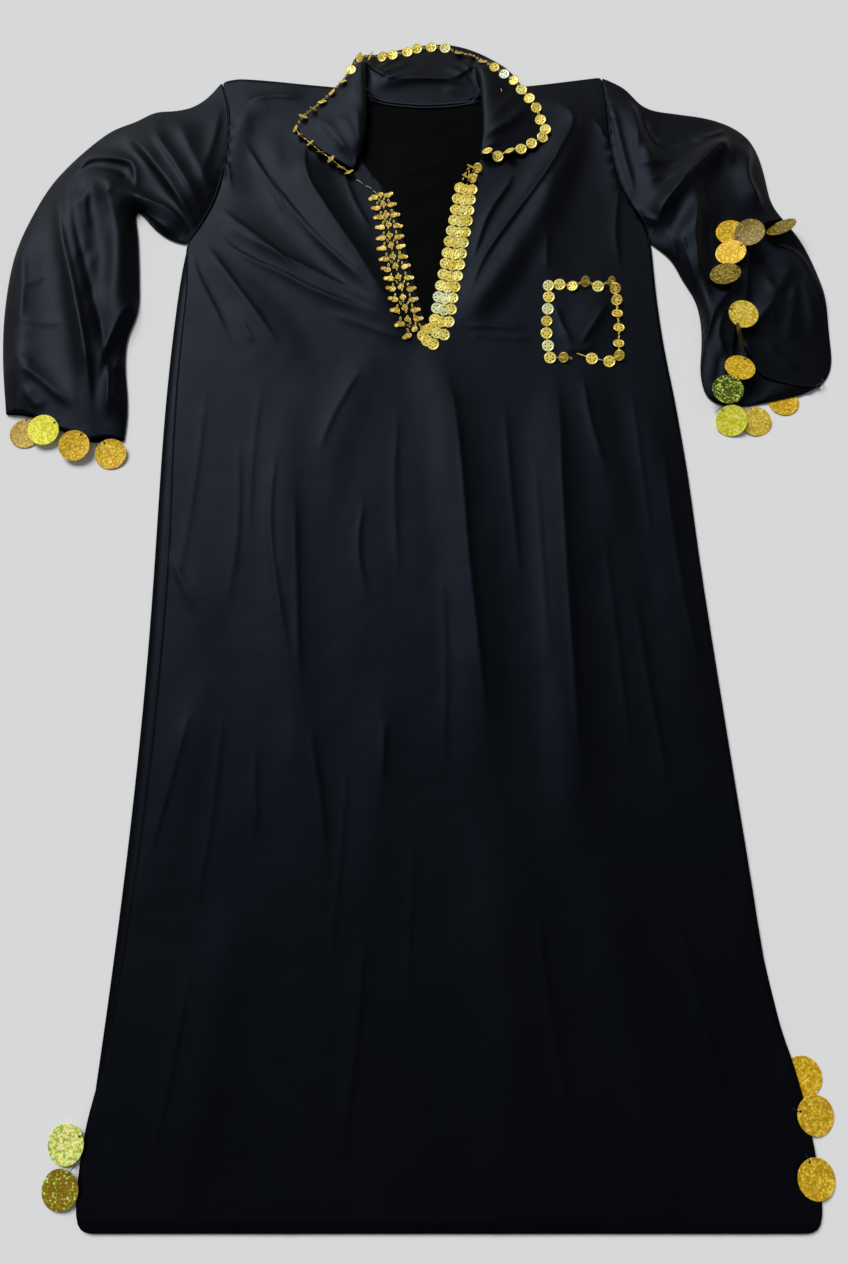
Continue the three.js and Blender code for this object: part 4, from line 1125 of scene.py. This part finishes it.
def foil(kind):
    """Crackled holographic foil: small facets that each catch the light in their own way, the light
    they catch painted into their colour as a glint of its own for each facet.
    """
    tones, hue_share = DISC_FOILS[kind]
    finish = Finish(kind + " foil")
    place = finish.place()
    facets = finish.node("ShaderNodeTexVoronoi", {"feature": "F1"},
                         {"Vector": place, "Scale": FOIL_CELLS}, output="Color")
    away = facets.output("Distance")
    painted_facet_glint = finish.node("ShaderNodeSeparateColor", {}, {"Color": facets}, output=0)
    hue = painted_facet_glint.output(1)
    cracks = finish.node("ShaderNodeTexVoronoi", {"feature": "DISTANCE_TO_EDGE"},
                         {"Vector": place, "Scale": FOIL_CELLS}, output="Distance")
    patch = finish.noise(70, 2)
    # each facet's painted glint lifts or lowers its tone, and the tone darkens away from the facet's
    # middle
    value = (painted_facet_glint - 0.5) * 0.5 + (patch - 0.5) * 0.35 + 0.86 - away * 0.95
    base = finish.ramp(value, tones)
    tint = finish.ramp(hue, [(0.0, (0.62, 1.0, 0.55)), (0.3, (1, 1, 1)), (0.72, (1, 1, 1)),
                             (1.0, (1.0, 0.66, 0.60))])
    colour = finish.node("ShaderNodeMix", {"data_type": "RGBA", "blend_type": "MULTIPLY"},
                         {0: hue_share, 6: base, 7: tint}, output=2)
    grooves = finish.node("ShaderNodeMath", {"operation": "MINIMUM"}, {0: cracks * 8, 1: 0.5})
    relief = grooves + painted_facet_glint * 0.4
    return finish.surface(Base_Color=colour, Metallic=0.12, Roughness=painted_facet_glint * 0.25 + 0.28,
                          Specular_IOR_Level=0.18, Coat_Weight=0.05, Coat_Roughness=0.15,
                          Normal=finish.bump(relief, 0.25, 0.0003))


FOILS = {kind: foil(kind) for kind in DISC_FOILS}


def disc_mesh(name, centre, turn, warp):
    """A thin round plate with a bevelled rim and a small hole, in metres in its place. warp
    bends it a little, as thin plastic does."""
    shape = bmesh.new()
    sides, hole_sides, hole_radius, thick = 48, 12, 1.3, 0.6

    def ring(middle, radius, z, count):
        angles = [2 * math.pi * i / count for i in range(count)]
        return [shape.verts.new((middle + radius * math.cos(angle), radius * math.sin(angle), z))
                for angle in angles]

    top = [ring(0, DISC_RADIUS - inset, z, sides) for inset, z in (
        (0, -thick * 0.2), (0.12, thick / 2 - 0.06), (0.5, thick / 2), (1.2, thick / 2 - 0.08))]
    bottom = [ring(0, DISC_RADIUS - inset, z, sides) for inset, z in (
        (0.12, -thick / 2 + 0.06), (0.5, -thick / 2))]
    for first, second in ((bottom[1], bottom[0]), (bottom[0], top[0]), (top[0], top[1]),
                          (top[1], top[2]), (top[2], top[3])):
        for i in range(sides):
            j = (i + 1) % sides
            shape.faces.new((first[i], first[j], second[j], second[i]))
    holes = [ring(HOLE_REACH, hole_radius, z, hole_sides) for z in (thick / 2 - 0.08, -thick / 2)]
    for i in range(hole_sides):
        j = (i + 1) % hole_sides
        shape.faces.new((holes[0][j], holes[0][i], holes[1][i], holes[1][j]))
    for rim, hole in ((top[3], holes[0]), (bottom[1], holes[1])):
        edges = [shape.edges.get((line[i], line[(i + 1) % len(line)])) for line in (rim, hole)
                 for i in range(len(line))]
        bmesh.ops.triangle_fill(shape, edges=edges, use_beauty=True)
    bmesh.ops.recalc_face_normals(shape, faces=shape.faces)
    for vert in shape.verts:
        vert.co.z += warp * (vert.co.x ** 2 - vert.co.y ** 2) / DISC_RADIUS ** 2
        vert.co = centre + (turn @ vert.co) / 1000
    mesh = poured(shape, bpy.data.meshes.new(name))
    mesh.shade_smooth()
    mesh.set_sharp_from_angle(angle=math.radians(35))
    return mesh


threads = []
for number, (node, kind) in enumerate(DISC_FOIL.items()):
    # the solid's own rim and hole say where the disc lies and how it is turned
    solid = np.array([vert.co[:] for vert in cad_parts[node].data.vertices])
    middle = (solid.max(0) + solid.min(0)) / 2
    outer = np.linalg.norm(solid - middle, axis=1) * 1000 > HOLE_ENDS
    rim_points, hole_points = solid[outer], solid[~outer]
    normal = Vector(np.linalg.svd(rim_points - rim_points.mean(0))[2][2])
    if normal.z < 0:
        normal.negate()
    centre = Vector(middle)
    hole_way = Vector(hole_points.mean(0)) - centre
    hole_way -= normal * hole_way.dot(normal)
    if node in DISC_TURNS:
        normal = tilt_turn(*DISC_TURNS[node]) @ Vector((0, 0, 1))
        hole_way -= normal * hole_way.dot(normal)
    tucked = node in TUCKED_DISCS
    if tucked:
        normal = Vector((0, 0, 1))
        hole_way.z = 0
    turn = Matrix((hole_way.normalized(), normal.cross(hole_way.normalized()), normal)).transposed()
    plan = (centre - ZERO) * 1000
    height = DISC_CLEAR if tucked else rest(plan.x, plan.y, turn, DISC_RADIUS, DISC_CLEAR)
    centre.z = height / 1000
    warp = 0 if tucked else 0.5 * math.sin(number * 2.3)     # no two discs bend alike
    piece = in_scene(node.replace("_disc_", "_foil_disc_"), disc_mesh(node, centre, turn, warp))
    piece.data.materials.append(FOILS[kind])
    hand_over(piece, node)
    if not tucked:
        dressed.append(surface_of(piece))
        threads.append((centre + turn @ Vector((HOLE_REACH / 1000, 0, 0)),
                        hole_way.normalized(), normal))


# ---- Threads and seams ------------------------------------------------------------------------
# Black sewing thread holds each disc. The neck seam shows as a ridge with its overlock, the ridge
# given a painted highlight; the underarm allowance runs along the open cuff, and pale tacks hold
# the ends of the trims.

def thread_tree():
    """Turns the edges of a mesh into round thread of one radius."""
    tree, given = new_tree("thread", (("Radius", "Float"),))
    add, link = tree.nodes.new, tree.links.new
    line, ring = add("GeometryNodeMeshToCurve"), add("GeometryNodeCurvePrimitiveCircle")
    sweep = add("GeometryNodeCurveToMesh")
    ring.inputs["Resolution"].default_value = 6
    sweep.inputs["Fill Caps"].default_value = True
    link(given.outputs["Geometry"], line.inputs["Mesh"])
    link(line.outputs["Curve"], sweep.inputs["Curve"])
    link(given.outputs["Radius"], ring.inputs["Radius"])
    link(ring.outputs["Curve"], sweep.inputs["Profile Curve"])
    return end_tree(tree, given, sweep.outputs["Mesh"])


THREAD_TREE = thread_tree()


def thread_finish(name, colour, rough):
    """Spun thread, with a little fuzz."""
    finish = Finish(name)
    fuzz = finish.noise(2600, 2)
    dark = tuple(part * 0.7 for part in colour)
    return finish.surface(Base_Color=finish.ramp(fuzz, [(0.3, dark), (0.8, colour)]),
                          Roughness=fuzz * 0.2 + rough, Normal=finish.bump(fuzz, 0.4, 0.0002))


DARK_THREAD = thread_finish("black thread", (0.0030, 0.0030, 0.0040), 0.6)
# the neck seam's ridge: the navy jersey made some twenty times lighter and bluer, a painted highlight
# where the ridge catches the lamp
SEAM_PAINTED_HIGHLIGHT = jersey("seam jersey with painted highlight", (0.0130, 0.0155, 0.0220), (0.0240, 0.0280, 0.0380),
                    0.5, 0.3)
PALE_THREAD = thread_finish("pale thread", (0.62, 0.52, 0.30), 0.4)


def thread_piece(name, lines, radius, material):
    """Thread along lines of places, in metres, that never sinks under the floor."""
    points, edges = [], []
    for line in lines:
        first = len(points)
        points.extend(Vector((spot.x, spot.y, max(spot.z, radius))) for spot in line)
        edges.extend((first + i, first + i + 1) for i in range(len(line) - 1))
    mesh = bpy.data.meshes.new(name)
    mesh.from_pydata(points, edges, [])
    piece = in_scene(name, mesh)
    grow(piece, THREAD_TREE, {"Radius": radius, "Finish": material}).shade_smooth()
    hand_over(piece)


THREAD_RADIUS = 0.00035
SEWN_DOWN = 0.0075                       # how far past its hole a disc's thread is sewn down

# each thread comes up through the hole and runs over the disc's rim to the cloth
disc_threads = []
for hole, way, normal in threads:
    out = hole + way * SEWN_DOWN
    loop = [hole - normal * 0.0008, hole + normal * 0.0009, hole + way * 0.003 + normal * 0.0010,
            hole + way * 0.0050 - normal * 0.0002]
    hits = [tree.ray_cast((out.x, out.y, 0.2), (0, 0, -1))[0] for tree in cloths]
    ground = max([hit.z for hit in hits if hit] + [0])
    loop.append(Vector((out.x, out.y, ground + 0.0006)))
    disc_threads.append([Vector((spot.x, spot.y, max(spot.z, 0.0005))) for spot in loop])
thread_piece("disc_threads", disc_threads, THREAD_RADIUS, DARK_THREAD)

SEAM_LINE = [(-76, 757), (-53, 749), (-26, 745), (1, 743), (35, 745), (60, 749), (75, 754)]


def on_cloth(points, lift, pieces=8):
    """A line that lies on the cloth, over any seam's gap, without jumps."""
    line = rounded(points, pieces)
    gap, turns = 1.6, 12
    heights = np.array([max(cloth_top(x + step, y) for step in (-gap, 0, gap)) for x, y in line])
    for turn in range(turns):
        heights[1:-1] = (heights[:-2] + 2 * heights[1:-1] + heights[2:]) / 4
    return [at(x, y, z + lift) for (x, y), z in zip(line, heights)]


def stitches(points, pitch, length, lift):
    """Short stitches along a line on the cloth."""
    line = rounded(points, 10)
    walked = walked_on(line)
    rows = []
    for start in np.arange(1, walked[-1] - length, pitch):
        places = [(np.interp(start + length * share, walked, line[:, 0]),
                   np.interp(start + length * share, walked, line[:, 1])) for share in (0, 0.5, 1)]
        rows.append([at(x, y, cloth_top(x, y) + lift * rise)
                     for (x, y), rise in zip(places, (0.2, 1, 0.2))])
    return rows


thread_piece("neck_seam", [on_cloth(SEAM_LINE, 0.9),
                           on_cloth([(x * 0.98, y - 3.0) for x, y in SEAM_LINE], 0.9)],
             0.0012, SEAM_PAINTED_HIGHLIGHT)
ARMHOLES = [
    [(-303, 521), (-289, 545), (-274, 582), (-265.5, 622), (-260.3, 671), (-263.3, 738),
     (-275, 780)],
    [(288, 521), (285.2, 545), (269.3, 580), (256.3, 617), (248.3, 671), (246.3, 738),
     (243.6, 788)],
]
thread_piece("armhole_seams", [on_cloth(line, -0.5) for line in ARMHOLES], 0.0010, CLOTH)
thread_piece("neck_overlock", stitches([(x * 0.99, y - 1.3) for x, y in SEAM_LINE], 2.4, 1.6, 1.5),
             0.0003, DARK_THREAD)

ALLOWANCE_LINE = [(392, 362), (399, 347), (409, 329), (422, 320), (445, 312), (464, 309),
                  (479, 311)]
thread_piece("cuff_allowance", [on_cloth(ALLOWANCE_LINE, 0.9)], 0.0016, CLOTH)
thread_piece("cuff_overlock", stitches(ALLOWANCE_LINE, 2.6, 2.0, 3.0), THREAD_RADIUS, DARK_THREAD)
tail = [at(474, 310, 5), at(479, 313, 6.5), at(483, 315, 6.0), at(482, 320, 5.0)]
thread_piece("cuff_thread_tail", [tail], 0.0008, DARK_THREAD)

TACKS = [((-88, 619), (-80, 612)), ((-76, 609), (-68, 604)), ((-66, 601), (-61, 595))]
tack_lines = []
for start, end in TACKS:
    line = []
    for share in (0, 0.25, 0.5, 0.75, 1):
        x, y = (a + (b - a) * share for a, b in zip(start, end))
        line.append(at(x, y, cloth_top(x, y) + 0.4 + 1.2 * math.sin(math.pi * share)))
    tack_lines.append(line)
tack_lines.append(on_cloth([(103, 757), (104, 752)], 0.6, 3))
thread_piece("pale_tacks", tack_lines, 0.0005, PALE_THREAD)

# rows of stitches that hold the hems of the sleeves
HEM_ROWS = [
    [(-495, 296), (-470, 292), (-438, 272), (-412, 264), (-394, 254), (-360, 256)],
    [(400, 520), (390, 480), (385, 440), (378, 405)],
]
hem_rows = []
for row in HEM_ROWS:
    hem_rows += stitches(row, 3.4, 2.6, 0.35)
thread_piece("hem_stitches", hem_rows, 0.00022, DARK_THREAD)
